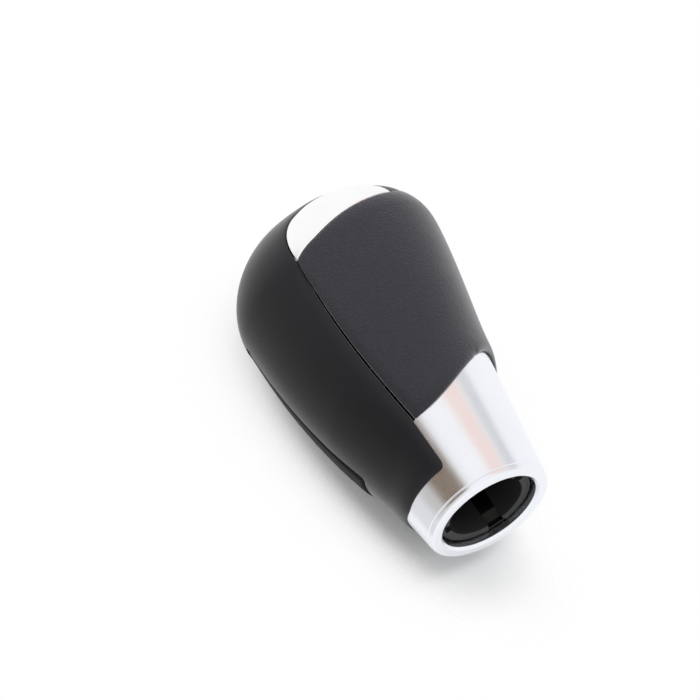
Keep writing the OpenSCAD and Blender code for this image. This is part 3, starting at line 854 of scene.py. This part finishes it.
@dataclass
class Collar:
    """The satin collar that grips the lever's boot, cut off slanting under the leather."""

    form: HeadForm
    wall: float = 1.6
    mouth_r: float = 13.7
    above_waist: float = 0.9
    rear_lift: float = 0.09
    tall: float = 40.0

    def outer(self, z: float, sunk: float = 0.0) -> tuple[float, float]:
        """Returns the outer profile's corner at a height."""
        return self.form.collar_r + self.form.collar_taper * z - sunk, z

    def build(self) -> Piece:
        """Returns the collar, with its rounded lip and the fine line above it."""
        r = self.form.collar_r
        profile = [(self.mouth_r + 0.7, 0), (r - 0.8, 0), (r - 0.2, 0.3), (r + 0.1, 1),
                   self.outer(1.45), self.outer(1.7, 0.35), self.outer(1.95),
                   self.outer(self.tall), self.outer(self.tall, self.wall),
                   self.outer(4.4, self.wall), (self.mouth_r, 3.2), (self.mouth_r, 0.7)]
        mesh = bmesh.new()
        Turning(profile, rounding=0.07, steps=192).turn(mesh)
        low, high = self.form.waist_front_z, self.form.waist_rear_z
        low_r, high_r = self.form.band_r(low), self.form.band_r(high)
        slope = (high - low) / (high_r + low_r) + self.rear_lift
        place = Vector((0, (high_r - low_r) / 2, (low + high) / 2 + self.above_waist))
        bmesh.ops.bisect_plane(mesh, geom=mesh.verts[:] + mesh.edges[:] + mesh.faces[:], dist=1e-5,
                               plane_co=place, plane_no=Vector((0, -slope, 1)), clear_outer=True)
        bmesh.ops.bridge_loops(mesh, edges=[edge for edge in mesh.edges if edge.is_boundary])
        bmesh.ops.recalc_face_normals(mesh, faces=mesh.faces[:])
        return Workbench.finish("satin_collar", mesh, Slot.COLLAR_SILVER, "knob", ["collar"],
                                crease=35)


@dataclass
class LockingSleeve:
    """The sleeve that holds the lever: a ring with two keyways and a slot for the clip."""

    outer_r: float = 13.1
    bore_r: float = 10.6
    low: float = 2.4
    high: float = 30.0
    keyway_depth: float = 1.5
    keyways: tuple[tuple[float, float], ...] = ((71.0, 15.6), (277.0, 15.6))
    slot_angle: float = 180.0
    slot_half: float = 11.5
    slot_top: float = 13.4
    shoulder_z: float = 27.0
    shoulder: float = 0.5
    lap: float = 0.1

    def build(self) -> Piece:
        """Returns the sleeve, in sectors that leave the keyways and the slot open."""
        mesh = bmesh.new()
        seam, step_r = self.bore_r + self.keyway_depth, self.outer_r + self.shoulder
        inner, joint = seam - self.lap, self.slot_top - self.lap
        slot_end, slot_start = self.slot_angle + self.slot_half, self.slot_angle - self.slot_half
        ring = [(inner, self.low), (self.outer_r, self.low), (self.outer_r, self.slot_top),
                (inner, self.slot_top)]
        Turning(ring).turn(mesh, slot_end, 360 - 2 * self.slot_half)
        upper = [(inner, joint), (self.outer_r, joint), (self.outer_r, self.shoulder_z),
                 (step_r, self.shoulder_z), (step_r, self.high), (inner, self.high)]
        Turning(upper, rounding=self.lap).turn(mesh)
        (rear, rear_wide), (front, front_wide) = self.keyways
        bars = [(rear + rear_wide / 2, slot_start, self.low),
                (slot_end, front - front_wide / 2, self.low),
                (front + front_wide / 2, 360 + rear - rear_wide / 2, self.low),
                (slot_start - 1, slot_end + 1, joint)]
        for start, end, low in bars:
            bar = [(self.bore_r, low), (seam, low), (seam, self.high), (self.bore_r, self.high)]
            Turning(bar).turn(mesh, start, end - start)
        return Workbench.finish("lever_sleeve", mesh, Slot.GREY_PLASTIC, "knob",
                                ["locking_sleeve"], crease=35)


@dataclass(frozen=True)
class ReturnCoil:
    """The spring over the slider, built at one fixed length; nothing here shortens it as the
    slider rises.
    """

    coil_r: float = 4.8
    wire_r: float = 0.5
    low: float = 88.05
    high: float = 92.95
    turns: float = 3.5
    rise: float = 2.25
    steps: int = 98
    sides: int = 12

    def build(self) -> Piece:
        """Returns the coil as a helix of fixed length."""
        mesh = bmesh.new()
        climb = self.high - self.low - 2 * self.wire_r
        start = Matrix.Translation((self.coil_r, 0, self.low + self.wire_r))
        bmesh.ops.create_circle(mesh, cap_ends=True, segments=self.sides, radius=self.wire_r,
                                matrix=start @ Matrix.Rotation(math.pi / 2, 4, "X"))
        bmesh.ops.spin(mesh, geom=mesh.verts[:] + mesh.edges[:] + mesh.faces[:], cent=(0, 0, 0),
                       axis=(0, 0, 1), dvec=(0, 0, climb / self.steps), steps=self.steps,
                       angle=math.tau * self.turns)
        bmesh.ops.recalc_face_normals(mesh, faces=mesh.faces[:])
        coil = Workbench.finish("return_coil", mesh, Slot.STEEL, "knob", ["return_spring"])
        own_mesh(coil)
        return coil


def operator(kind: str, turned: bool = False) -> Callable[["Signal", "Level"], "Signal"]:
    """Makes one of the signals' arithmetic methods.

    Args:
        kind: The Math node's operation.
        turned: Whether the other level comes first.

    Returns:
        The method.
    """
    def joined(signal: "Signal", other: Level) -> "Signal":
        """Joins the signal and the other level."""
        pair = (other, signal) if turned else (signal, other)
        return signal.join(kind, *pair)
    return joined


class Signal:
    """A number socket of a shader, which plain arithmetic joins to numbers and others."""

    def __init__(self, sheet: "NodeSheet", socket: Socket) -> None:
        """Keeps the sheet and the socket."""
        self.sheet = sheet
        self.socket = socket

    def join(self, kind: str, first: Level, second: Level, clamp: bool = False) -> "Signal":
        """Adds one Math node and returns what it gives."""
        node = self.sheet.node("ShaderNodeMath", {"operation": kind, "use_clamp": clamp},
                               {0: first, 1: second})
        return Signal(self.sheet, node.outputs[0])

    __add__, __radd__ = operator("ADD"), operator("ADD", turned=True)
    __sub__, __rsub__ = operator("SUBTRACT"), operator("SUBTRACT", turned=True)
    __truediv__, __rtruediv__ = operator("DIVIDE"), operator("DIVIDE", turned=True)
    __mul__, __pow__ = operator("MULTIPLY"), operator("POWER")

    def held(self) -> "Signal":
        """Returns the signal held between 0 and 1."""
        return self.join("ADD", self, 0.0, clamp=True)


class NodeSheet:
    """A node tree and the few ways in which nodes are added to it."""

    def __init__(self, owner: Union[Material, bpy.types.World],
                 output: str = "ShaderNodeOutputMaterial") -> None:
        """Empties the owner's tree and adds its output."""
        owner.use_nodes = True
        self.tree = owner.node_tree
        self.tree.nodes.clear()
        self.output = self.node(output)
        self.shader: Optional[Node] = None

    @classmethod
    def surface(cls, material: Material) -> "NodeSheet":
        """Returns a material's sheet, with the one shader that its finish feeds."""
        sheet = cls(material)
        sheet.shader = sheet.show("ShaderNodeBsdfPrincipled")
        return sheet

    def give(self, socket: Socket, value: Given) -> None:
        """Sets an input, or links it to the socket or signal that it gets its value from."""
        value = value.socket if isinstance(value, Signal) else value
        if isinstance(value, Socket):
            self.tree.links.new(value, socket)
        else:
            socket.default_value = value

    def show(self, kind: str, *inputs: Union[Given, Node]) -> Node:
        """Adds the node that the output shows.

        Args:
            kind: The node's type.
            inputs: What its first inputs get. A node stands for its first output.

        Returns:
            The node.
        """
        given = {key: value.outputs[0] if isinstance(value, Node) else value
                 for key, value in enumerate(inputs)}
        made = self.node(kind, None, given)
        self.give(self.output.inputs[0], made.outputs[0])
        return made

    def feed(self, name: str, value: Given) -> None:
        """Sets or links one of the shader's inputs."""
        self.give(self.shader.inputs[name], value)

    def node(self, kind: str, settings: Optional[dict] = None,
             inputs: Optional[dict] = None) -> Node:
        """Adds a node.

        Args:
            kind: The node's type.
            settings: Its properties, which are set first.
            inputs: Values, sockets or signals for its inputs, by name or number.

        Returns:
            The node.
        """
        made = self.tree.nodes.new(kind)
        for name, value in (settings or {}).items():
            setattr(made, name, value)
        for key, value in (inputs or {}).items():
            self.give(made.inputs[key], value)
        return made

    def vector(self, kind: str, first: Given, second: Given) -> Node:
        """Adds one node of vector arithmetic."""
        return self.node("ShaderNodeVectorMath", {"operation": kind}, {0: first, 1: second})

    def position(self, stretch: Triple = (1.0, 1.0, 1.0)) -> Socket:
        """Returns the piece's own coordinates, stretched."""
        place = self.node("ShaderNodeTexCoord").outputs["Object"]
        node = self.node("ShaderNodeMapping", {"vector_type": "POINT"},
                         {"Vector": place, "Scale": stretch})
        return node.outputs[0]

    @staticmethod
    def density(size_mm: float) -> float:
        """Returns the scale at which a texture's features have the given size."""
        return 1000 / size_mm

    def noise(self, place: Socket, size_mm: float, detail: float = 3.0,
              rough: float = 0.5) -> Signal:
        """Returns soft noise between about 0 and 1, with blots of the given size."""
        node = self.node("ShaderNodeTexNoise", None, {
            "Vector": place, "Scale": self.density(size_mm), "Detail": detail,
            "Roughness": rough})
        return Signal(self, node.outputs[0])

    def cells(self, place: Socket, size_mm: float, feature: str,
              random: float = 0.95) -> Signal:
        """Returns the distance that a pattern of cells of the given size gives."""
        node = self.node("ShaderNodeTexVoronoi", {"feature": feature},
                         {"Vector": place, "Scale": self.density(size_mm),
                          "Randomness": random})
        return Signal(self, node.outputs["Distance"])

    def shifted(self, place: Socket, size_mm: float,
                amount_mm: float) -> Socket:
        """Returns the coordinates, warped by soft noise."""
        wobble = self.node("ShaderNodeTexNoise", None,
                           {"Vector": place, "Scale": self.density(size_mm)})
        centred = self.vector("SUBTRACT", wobble.outputs["Color"], (0.5, 0.5, 0.5))
        scaled = self.node("ShaderNodeVectorMath", {"operation": "SCALE"},
                           {0: centred.outputs[0], "Scale": amount_mm * MM})
        return self.vector("ADD", place, scaled.outputs[0]).outputs[0]

    def blend(self, share: Level, first: Colour, second: Colour) -> Socket:
        """Returns the colour between two colours."""
        node = self.node("ShaderNodeMix", {"data_type": "RGBA"},
                         {0: share, 6: (*first, 1.0), 7: (*second, 1.0)})
        return node.outputs[2]

    def bump(self, height: Signal, depth_mm: float, strength: float = 1.0) -> None:
        """Gives the shader a relief of the given depth."""
        node = self.node("ShaderNodeBump", None, {
            "Height": height, "Distance": depth_mm * MM, "Strength": strength})
        self.feed("Normal", node.outputs[0])


@dataclass(frozen=True)
class Finish:
    """What every finish has, and the way in which it becomes a material.

    The colour lies between two shades of itself, and the roughness swings by a share.
    """

    colour: Colour
    roughness: float
    metallic: float = 0.0
    shades: tuple[float, float] = (0.9, 1.1)
    swing: float = 0.1
    relief_mm: float = 0.01
    relief_share: float = 0.5

    def material(self, slot: Slot) -> Material:
        """Returns the finish as a material named after its slot."""
        made = bpy.data.materials.new(slot.value)
        sheet = NodeSheet.surface(made)
        sheet.feed("Metallic", self.metallic)
        self.paint(sheet)
        return made

    def dye(self, sheet: NodeSheet, share: Signal) -> None:
        """Gives the shader a colour between the finish's two shades."""
        dark, light = (tuple(min(1.0, part * shade) for part in self.colour)
                       for shade in self.shades)
        sheet.feed("Base Color", sheet.blend(share, dark, light))

    def rub(self, share: Signal) -> Signal:
        """Returns the roughness, which swings with a share about its middle."""
        return self.roughness + (share - 0.5) * self.swing

    def paint(self, sheet: NodeSheet) -> None:
        """Paints the finish, which every kind does in its own way."""
        raise NotImplementedError


@dataclass(frozen=True)
class Leather(Finish):
    """Dyed leather with pebbles, fine pores and a slightly uneven dye."""

    shades: tuple[float, float] = (0.62, 1.35)
    swing: float = 0.16
    relief_share: float = 0.8
    pebble_mm: float = 0.7
    pore_share: float = 0.35
    crease_gain: float = 4.0
    crease_worn: float = 0.04
    warp: tuple[float, float] = (3.0, 0.8)
    stretch: Triple = (1.0, 1.0, 1.0)
    cloud_mm: float = 18.0
    tone_parts: Triple = (0.35, 0.25, 0.4)
    relief_parts: tuple[float, float] = (0.7, 0.3)
    gloss: float = 0.3
    sheen: float = 0.2
    sheen_roughness: float = 0.4

    def paint(self, sheet: NodeSheet) -> None:
        """Paints the dye, the creases between the pebbles and their relief."""
        place, (far, deep) = sheet.position(self.stretch), self.warp
        warped = sheet.shifted(place, self.pebble_mm * far, self.pebble_mm * deep)
        cells = sheet.cells(warped, self.pebble_mm, "DISTANCE_TO_EDGE")
        crease = (cells * self.crease_gain).held()
        fine = sheet.noise(place, self.pebble_mm * self.pore_share, detail=2.0)
        cloud = sheet.noise(sheet.position(), self.cloud_mm, detail=4.0)
        parts = [part * share for part, share in zip((crease, fine, cloud), self.tone_parts)]
        self.dye(sheet, (parts[0] + parts[1] + parts[2]).held())
        sheet.feed("Roughness", (self.rub(cloud) - crease * self.crease_worn).held())
        sheet.feed("Specular IOR Level", self.gloss)
        sheet.feed("Sheen Weight", self.sheen)
        sheet.feed("Sheen Roughness", self.sheen_roughness)
        height = crease * self.relief_parts[0] + fine * self.relief_parts[1]
        sheet.bump(height, self.relief_mm, self.relief_share)


@dataclass(frozen=True)
class SatinMetal(Finish):
    """Satin plated metal with a very fine grain and faint handling marks."""

    shades: tuple[float, float] = (0.96, 1.03)
    relief_mm: float = 0.004
    grain_mm: float = 0.12
    grain_swing: float = 0.08
    mark_mm: float = 9.0

    def paint(self, sheet: NodeSheet) -> None:
        """Paints the grain and the marks."""
        place = sheet.position()
        grain = sheet.noise(place, self.grain_mm, detail=2.0)
        marks = sheet.noise(place, self.mark_mm, detail=5.0, rough=0.6)
        self.dye(sheet, marks)
        sheet.feed("Roughness", (self.rub(marks) + (grain - 0.5) * self.grain_swing).held())
        sheet.bump(grain, self.relief_mm, self.relief_share)


@dataclass(frozen=True)
class MouldedPlastic(Finish):
    """Moulded plastic with a fine spark-eroded texture."""

    shades: tuple[float, float] = (0.8, 1.2)
    swing: float = 0.12
    relief_mm: float = 0.012
    relief_share: float = 0.6
    speckle_mm: float = 0.3
    cloud_mm: float = 12.0
    speckle_part: float = 0.4
    gloss: float = 0.5

    def paint(self, sheet: NodeSheet) -> None:
        """Paints the texture and the slight cloudiness of the moulding."""
        place = sheet.position()
        speckle = sheet.noise(place, self.speckle_mm)
        cloud = sheet.noise(place, self.cloud_mm)
        self.dye(sheet, (speckle * self.speckle_part + cloud * (1 - self.speckle_part)).held())
        sheet.feed("Roughness", self.rub(speckle).held())
        sheet.feed("Specular IOR Level", self.gloss)
        sheet.bump(speckle, self.relief_mm, self.relief_share)


@dataclass(frozen=True)
class TurnedMetal(Finish):
    """Bare metal with the fine rings of turning and drawing."""

    shades: tuple[float, float] = (0.85, 1.08)
    swing: float = 0.15
    relief_mm: float = 0.006
    ring_mm: float = 0.25
    ring_stretch: Triple = (0.05, 0.05, 1.0)
    stain_mm: float = 6.0

    def paint(self, sheet: NodeSheet) -> None:
        """Paints rings across the piece and faint stains."""
        rings = sheet.noise(sheet.position(self.ring_stretch), self.ring_mm, detail=1.0)
        self.dye(sheet, sheet.noise(sheet.position(), self.stain_mm, detail=4.0))
        sheet.feed("Roughness", self.rub(rings).held())
        sheet.bump(rings, self.relief_mm, self.relief_share)


@dataclass(frozen=True)
class Cellular(Finish):
    """Foam or rubber with open cells."""

    shades: tuple[float, float] = (0.5, 1.3)
    relief_mm: float = 0.15
    relief_share: float = 0.8
    cell_mm: float = 0.5
    cell_gain: float = 1.6

    def paint(self, sheet: NodeSheet) -> None:
        """Paints the cells."""
        cells = (sheet.cells(sheet.position(), self.cell_mm, "F1") * self.cell_gain).held()
        self.dye(sheet, cells)
        sheet.feed("Roughness", self.roughness)
        sheet.bump(cells, self.relief_mm, self.relief_share)


@dataclass
class Palette:
    """The finishes of every slot, and the materials made from them."""

    finishes: dict[Slot, Finish] = field(default_factory=lambda: {
        Slot.BAND_LEATHER: Leather((0.0088, 0.0085, 0.011), 0.5, pebble_mm=0.45, relief_mm=0.015,
                                   gloss=0.22, sheen=0.47),
        Slot.PALM_LEATHER: Leather((0.0175, 0.017, 0.0245), 0.55, pebble_mm=0.9, relief_mm=0.075,
                                   stretch=(1.0, 0.6, 1.1), gloss=0.34, sheen=0.79),
        Slot.TRIM_SILVER: SatinMetal((0.97, 0.97, 0.975), 0.3, metallic=1.0),
        Slot.COLLAR_SILVER: SatinMetal((0.885, 0.905, 0.95), 0.26, metallic=1.0),
        Slot.BLACK_PLASTIC: MouldedPlastic((0.016, 0.015, 0.013), 0.6, gloss=0.08),
        Slot.GREY_PLASTIC: MouldedPlastic((0.022, 0.022, 0.022), 0.5, gloss=0.3),
        Slot.WHITE_PLASTIC: MouldedPlastic((0.72, 0.71, 0.66), 0.4, relief_mm=0.006),
        Slot.STEEL: TurnedMetal((0.62, 0.62, 0.63), 0.28, metallic=1.0),
        Slot.DARK_STEEL: TurnedMetal((0.02, 0.02, 0.019), 0.5, metallic=1.0),
        Slot.FOAM: Cellular((0.05, 0.05, 0.055), 0.9),
        Slot.RUBBER: Cellular((0.02, 0.02, 0.02), 0.75, cell_mm=0.25, relief_mm=0.03),
        Slot.BRASS: TurnedMetal((0.78, 0.57, 0.25), 0.25, metallic=1.0),
    })
    materials: dict[Slot, Material] = field(default_factory=dict)

    def of(self, slot: Slot) -> Material:
        """Returns the slot's material, which is made once."""
        if slot not in self.materials:
            self.materials[slot] = self.finishes[slot].material(slot)
        return self.materials[slot]

    def dress(self, piece: Piece, slot: Slot) -> None:
        """Gives a piece the slot's material."""
        piece.data.materials.clear()
        piece.data.materials.append(self.of(slot))

    def dress_nodes(self, nodes: dict[str, Piece], record: dict) -> None:
        """Gives every CAD node the finish that the record names for it."""
        for entry in record["subparts"]:
            slot = Slot(entry["material_slot"])
            self.dress(nodes[entry["node"]], slot)
            LOG.info("%s is in %s", entry["node"], slot.value)


@dataclass(frozen=True)
class PhotoCamera:
    """The camera of the photograph, by the angles at which it sees the knob."""

    tilt: float = 31.4
    swing: float = -0.2
    bank: float = 33.8
    focal_px: float = 1890.0
    distance: float = 0.479
    origin_px: tuple[float, float] = (490.9, 513.9)
    frame_px: float = 700.0
    sensor_mm: float = 36.0

    def axes(self) -> tuple[Vector, Vector, Vector]:
        """Returns the camera's right, its up and the direction from the knob to it."""
        tilt, swing, bank = (math.radians(a) for a in (self.tilt, self.swing, self.bank))
        back = Vector((math.cos(tilt) * math.cos(swing), math.cos(tilt) * math.sin(swing),
                       -math.sin(tilt)))
        level_up = Vector((0, 0, 1)) - back * back.z
        level_up.normalize()
        level_right = level_up.cross(back)
        up = level_up * math.cos(bank) + level_right * math.sin(bank)
        right = level_right * math.cos(bank) - level_up * math.sin(bank)
        return right, up, back

    def build(self) -> Piece:
        """Returns the camera, which becomes the scene's own."""
        right, up, back = self.axes()
        across = (self.origin_px[0] - self.frame_px / 2) * self.distance / self.focal_px
        along = (self.frame_px / 2 - self.origin_px[1]) * self.distance / self.focal_px
        data = bpy.data.cameras.new("photo_camera")
        data.sensor_width = self.sensor_mm
        data.lens = self.sensor_mm * self.focal_px / self.frame_px
        camera = Workbench.add("photo_camera", data)
        place = back * self.distance - right * across - up * along
        camera.matrix_world = turned_to(place, (right, up, back))
        bpy.context.scene.camera = camera
        return camera


@dataclass
class Studio:
    """The pale table that the knob lies on, the soft lamps and the white surroundings.

    A lamp is its name, aim, distance, size and power; a card its name, azimuth, width and
    colour, as lamp() and card() take them.
    """

    view: PhotoCamera
    slope: float = 52.0
    reach: float = 0.26
    middle_z: float = 0.05
    clearance: float = 0.00015
    cloud_mm: float = 60.0
    table_shades: tuple[Colour, Colour] = ((0.9, 0.9, 0.89), (0.94, 0.94, 0.93))
    table_roughness: float = 0.7
    shaded_along: float = 0.062
    shaded_across: float = 0.023
    shade_flare: float = 0.083
    fade_from: float = 0.9
    fade_width: float = 0.36
    fade_end: float = 4.0
    card_reach: float = 0.3
    card_tall: float = 0.36
    card_z: float = 0.09
    aim_z: float = 0.055
    light_tint: Colour = (0.97, 0.98, 1.0)
    light_level: float = 0.55
    lamps: tuple[tuple[str, Triple, float, float, float], ...] = (
        ("key_softbox", (0.55, 1.0, 0.25), 0.75, 0.6, 4.0),
        ("left_softbox", (-1.0, 0.7, 0.3), 0.8, 0.5, 1.6))
    cards: tuple[tuple[str, float, float, Colour], ...] = (
        ("warm_card", 43, 24, (0.97, 0.77, 0.7)), ("cool_card", 18, 18, (0.68, 0.69, 0.7)),
        ("brown_card", 121, 44, (0.22, 0.16, 0.11)), ("grey_card", 156, 26, (0.6, 0.58, 0.56)),
        ("pale_card", 188, 36, (0.78, 0.78, 0.78)))

    def normal(self) -> Vector:
        """Returns the table's upward direction."""
        _, up, back = self.view.axes()
        slope = math.radians(self.slope)
        return (up * math.cos(slope) + back * math.sin(slope)).normalized()

    def table(self, nodes: dict[str, Piece]) -> Piece:
        """Lays the table under the knob.

        Args:
            nodes: The CAD nodes, whose lowest point rests on it.

        Returns:
            The table.
        """
        normal = self.normal()
        low = min(normal.dot(vertex.co)
                  for node in nodes.values() for vertex in node.data.vertices)
        middle = Vector((0, 0, self.middle_z))
        centre = middle + normal * (low - self.clearance - normal.dot(middle))
        mesh = bmesh.new()
        bmesh.ops.create_circle(mesh, cap_ends=True, segments=96, radius=self.reach)
        bmesh.ops.transform(mesh, matrix=facing(centre, normal), verts=mesh.verts[:])
        table = Workbench.link("table", mesh)
        table.data.materials.append(self.table_material(centre))
        return table

    def table_material(self, centre: Vector) -> Material:
        """Returns the pale table's material, which clears away from the knob and from below."""
        made = bpy.data.materials.new("pale_table")
        sheet = NodeSheet.surface(made)
        cloud = sheet.noise(sheet.position(), self.cloud_mm)
        sheet.feed("Base Color", sheet.blend(cloud, *self.table_shades))
        sheet.feed("Roughness", self.table_roughness)
        apart = sheet.vector("SUBTRACT", sheet.position(), tuple(centre)).outputs[0]
        normal = self.normal()
        along = (Vector((0, 0, 1)) - normal * normal.z).normalized()
        far_along, far_across = (
            Signal(sheet, sheet.vector("DOT_PRODUCT", apart, tuple(way)).outputs["Value"])
            for way in (along, normal.cross(along)))
        wide = far_along * self.shade_flare + self.shaded_across
        far = ((far_along / self.shaded_along) ** 2 + (far_across / wide) ** 2) ** 0.5
        past = ((far - self.fade_from) / self.fade_end).held() * (self.fade_end / self.fade_width)
        fade = 1.0 - 1.0 / (past * past + 1.0) ** 2
        behind = Signal(sheet, sheet.node("ShaderNodeNewGeometry").outputs["Backfacing"])
        sheet.show("ShaderNodeMixShader", 1.0 - (1.0 - fade) * (1.0 - behind),
                   sheet.shader, sheet.node("ShaderNodeBsdfTransparent"))
        return made

    def card(self, name: str, azimuth: float, width: float, colour: Colour) -> Piece:
        """Stands a long card beside the lever axis, which shows in gloss only.

        Args:
            name: The card's name.
            azimuth: Its direction from the lever axis, in degrees from +Y towards +X.
            width: The angle that it covers, in degrees.
            colour: What it shows.

        Returns:
            The card.
        """
        made = bpy.data.materials.new(name)
        NodeSheet(made).show("ShaderNodeEmission", (*colour, 1.0))
        mesh = bmesh.new()
        bmesh.ops.create_grid(mesh, x_segments=1, y_segments=1, size=0.5)
        across = 2 * self.card_reach * math.tan(math.radians(width / 2))
        bmesh.ops.scale(mesh, verts=mesh.verts[:], vec=Vector((across, self.card_tall, 1)))
        way = math.radians(azimuth)
        out = Vector((math.sin(way), math.cos(way), 0.0))
        side, up = Vector((out.y, -out.x, 0.0)), Vector((0.0, 0.0, 1.0))
        place = turned_to(out * self.card_reach + up * self.card_z, (side, up, out))
        bmesh.ops.transform(mesh, matrix=place, verts=mesh.verts[:])
        card = Workbench.link(name, mesh)
        card.data.materials.append(made)
        card.visible_camera = card.visible_diffuse = card.visible_shadow = False
        return card

    def lamp(self, name: str, aim: Triple, distance: float, size: float,
             power: float) -> Piece:
        """Hangs a soft lamp.

        Args:
            name: The lamp's name.
            aim: Its direction from the knob: to the right, away from the table, up the table.
            distance: How far from the knob it hangs, in metres.
            size: The side of its square panel, in metres.
            power: Its power, in watts.

        Returns:
            The lamp.
        """
        right, _, _ = self.view.axes()
        normal = self.normal()
        along = normal.cross(right).normalized()
        way = (right * aim[0] + normal * aim[1] + along * aim[2]).normalized()
        data = bpy.data.lights.new(name, "AREA")
        data.shape, data.size, data.energy = "SQUARE", size, power
        lamp = Workbench.add(name, data)
        lamp.visible_glossy = False
        lamp.matrix_world = facing(Vector((0, 0, self.aim_z)) + way * distance, way)
        return lamp

    def surroundings(self) -> None:
        """Makes the surroundings white to the eye and in gloss, and a plain level as light."""
        world = bpy.data.worlds.new("studio")
        bpy.context.scene.world = world
        sheet = NodeSheet(world, "ShaderNodeOutputWorld")
        path = sheet.node("ShaderNodeLightPath")
        camera, glossy, through = (Signal(sheet, path.outputs[f"Is {ray} Ray"])
                                   for ray in ("Camera", "Glossy", "Transmission"))
        seen = camera.join("MAXIMUM", camera, glossy.join("MAXIMUM", glossy, through))
        light, bright = (
            sheet.node("ShaderNodeBackground", None, {"Color": (*tint, 1.0), "Strength": level})
            for tint, level in ((self.light_tint, self.light_level), ((1.0, 1.0, 1.0), 1.0)))
        sheet.show("ShaderNodeMixShader", seen, light, bright)

    def build(self, nodes: dict[str, Piece]) -> None:
        """Sets up the table, the lamps and the surroundings."""
        self.table(nodes)
        for lamp in self.lamps:
            self.lamp(*lamp)
        for card in self.cards:
            self.card(*card)
        self.surroundings()


def main() -> None:
    """Builds the knob's pieces, dresses them and sets up the photograph's scene."""
    logging.basicConfig(level=logging.INFO, format="%(name)s: %(message)s")
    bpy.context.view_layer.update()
    bpy.context.scene.view_settings.view_transform = "Standard"
    form, palette = HeadForm(), Palette()
    palette.dress_nodes(frame["nodes"], frame["record"])
    leather = LeatherWork(form)
    palette.dress(leather.band(), Slot.BAND_LEATHER)
    palette.dress(leather.pad(), Slot.PALM_LEATHER)
    for side in Side:
        palette.dress(SideTrim(form, side).build(), Slot.TRIM_SILVER)
    palette.dress(TriggerCap(form).build(), Slot.BLACK_PLASTIC)
    palette.dress(Collar(form).build(), Slot.COLLAR_SILVER)
    palette.dress(LockingSleeve().build(), Slot.GREY_PLASTIC)
    palette.dress(ReturnCoil().build(), Slot.STEEL)
    view = PhotoCamera()
    view.build()
    Studio(view).build(frame["nodes"])


if __name__ == "__main__":
    main()
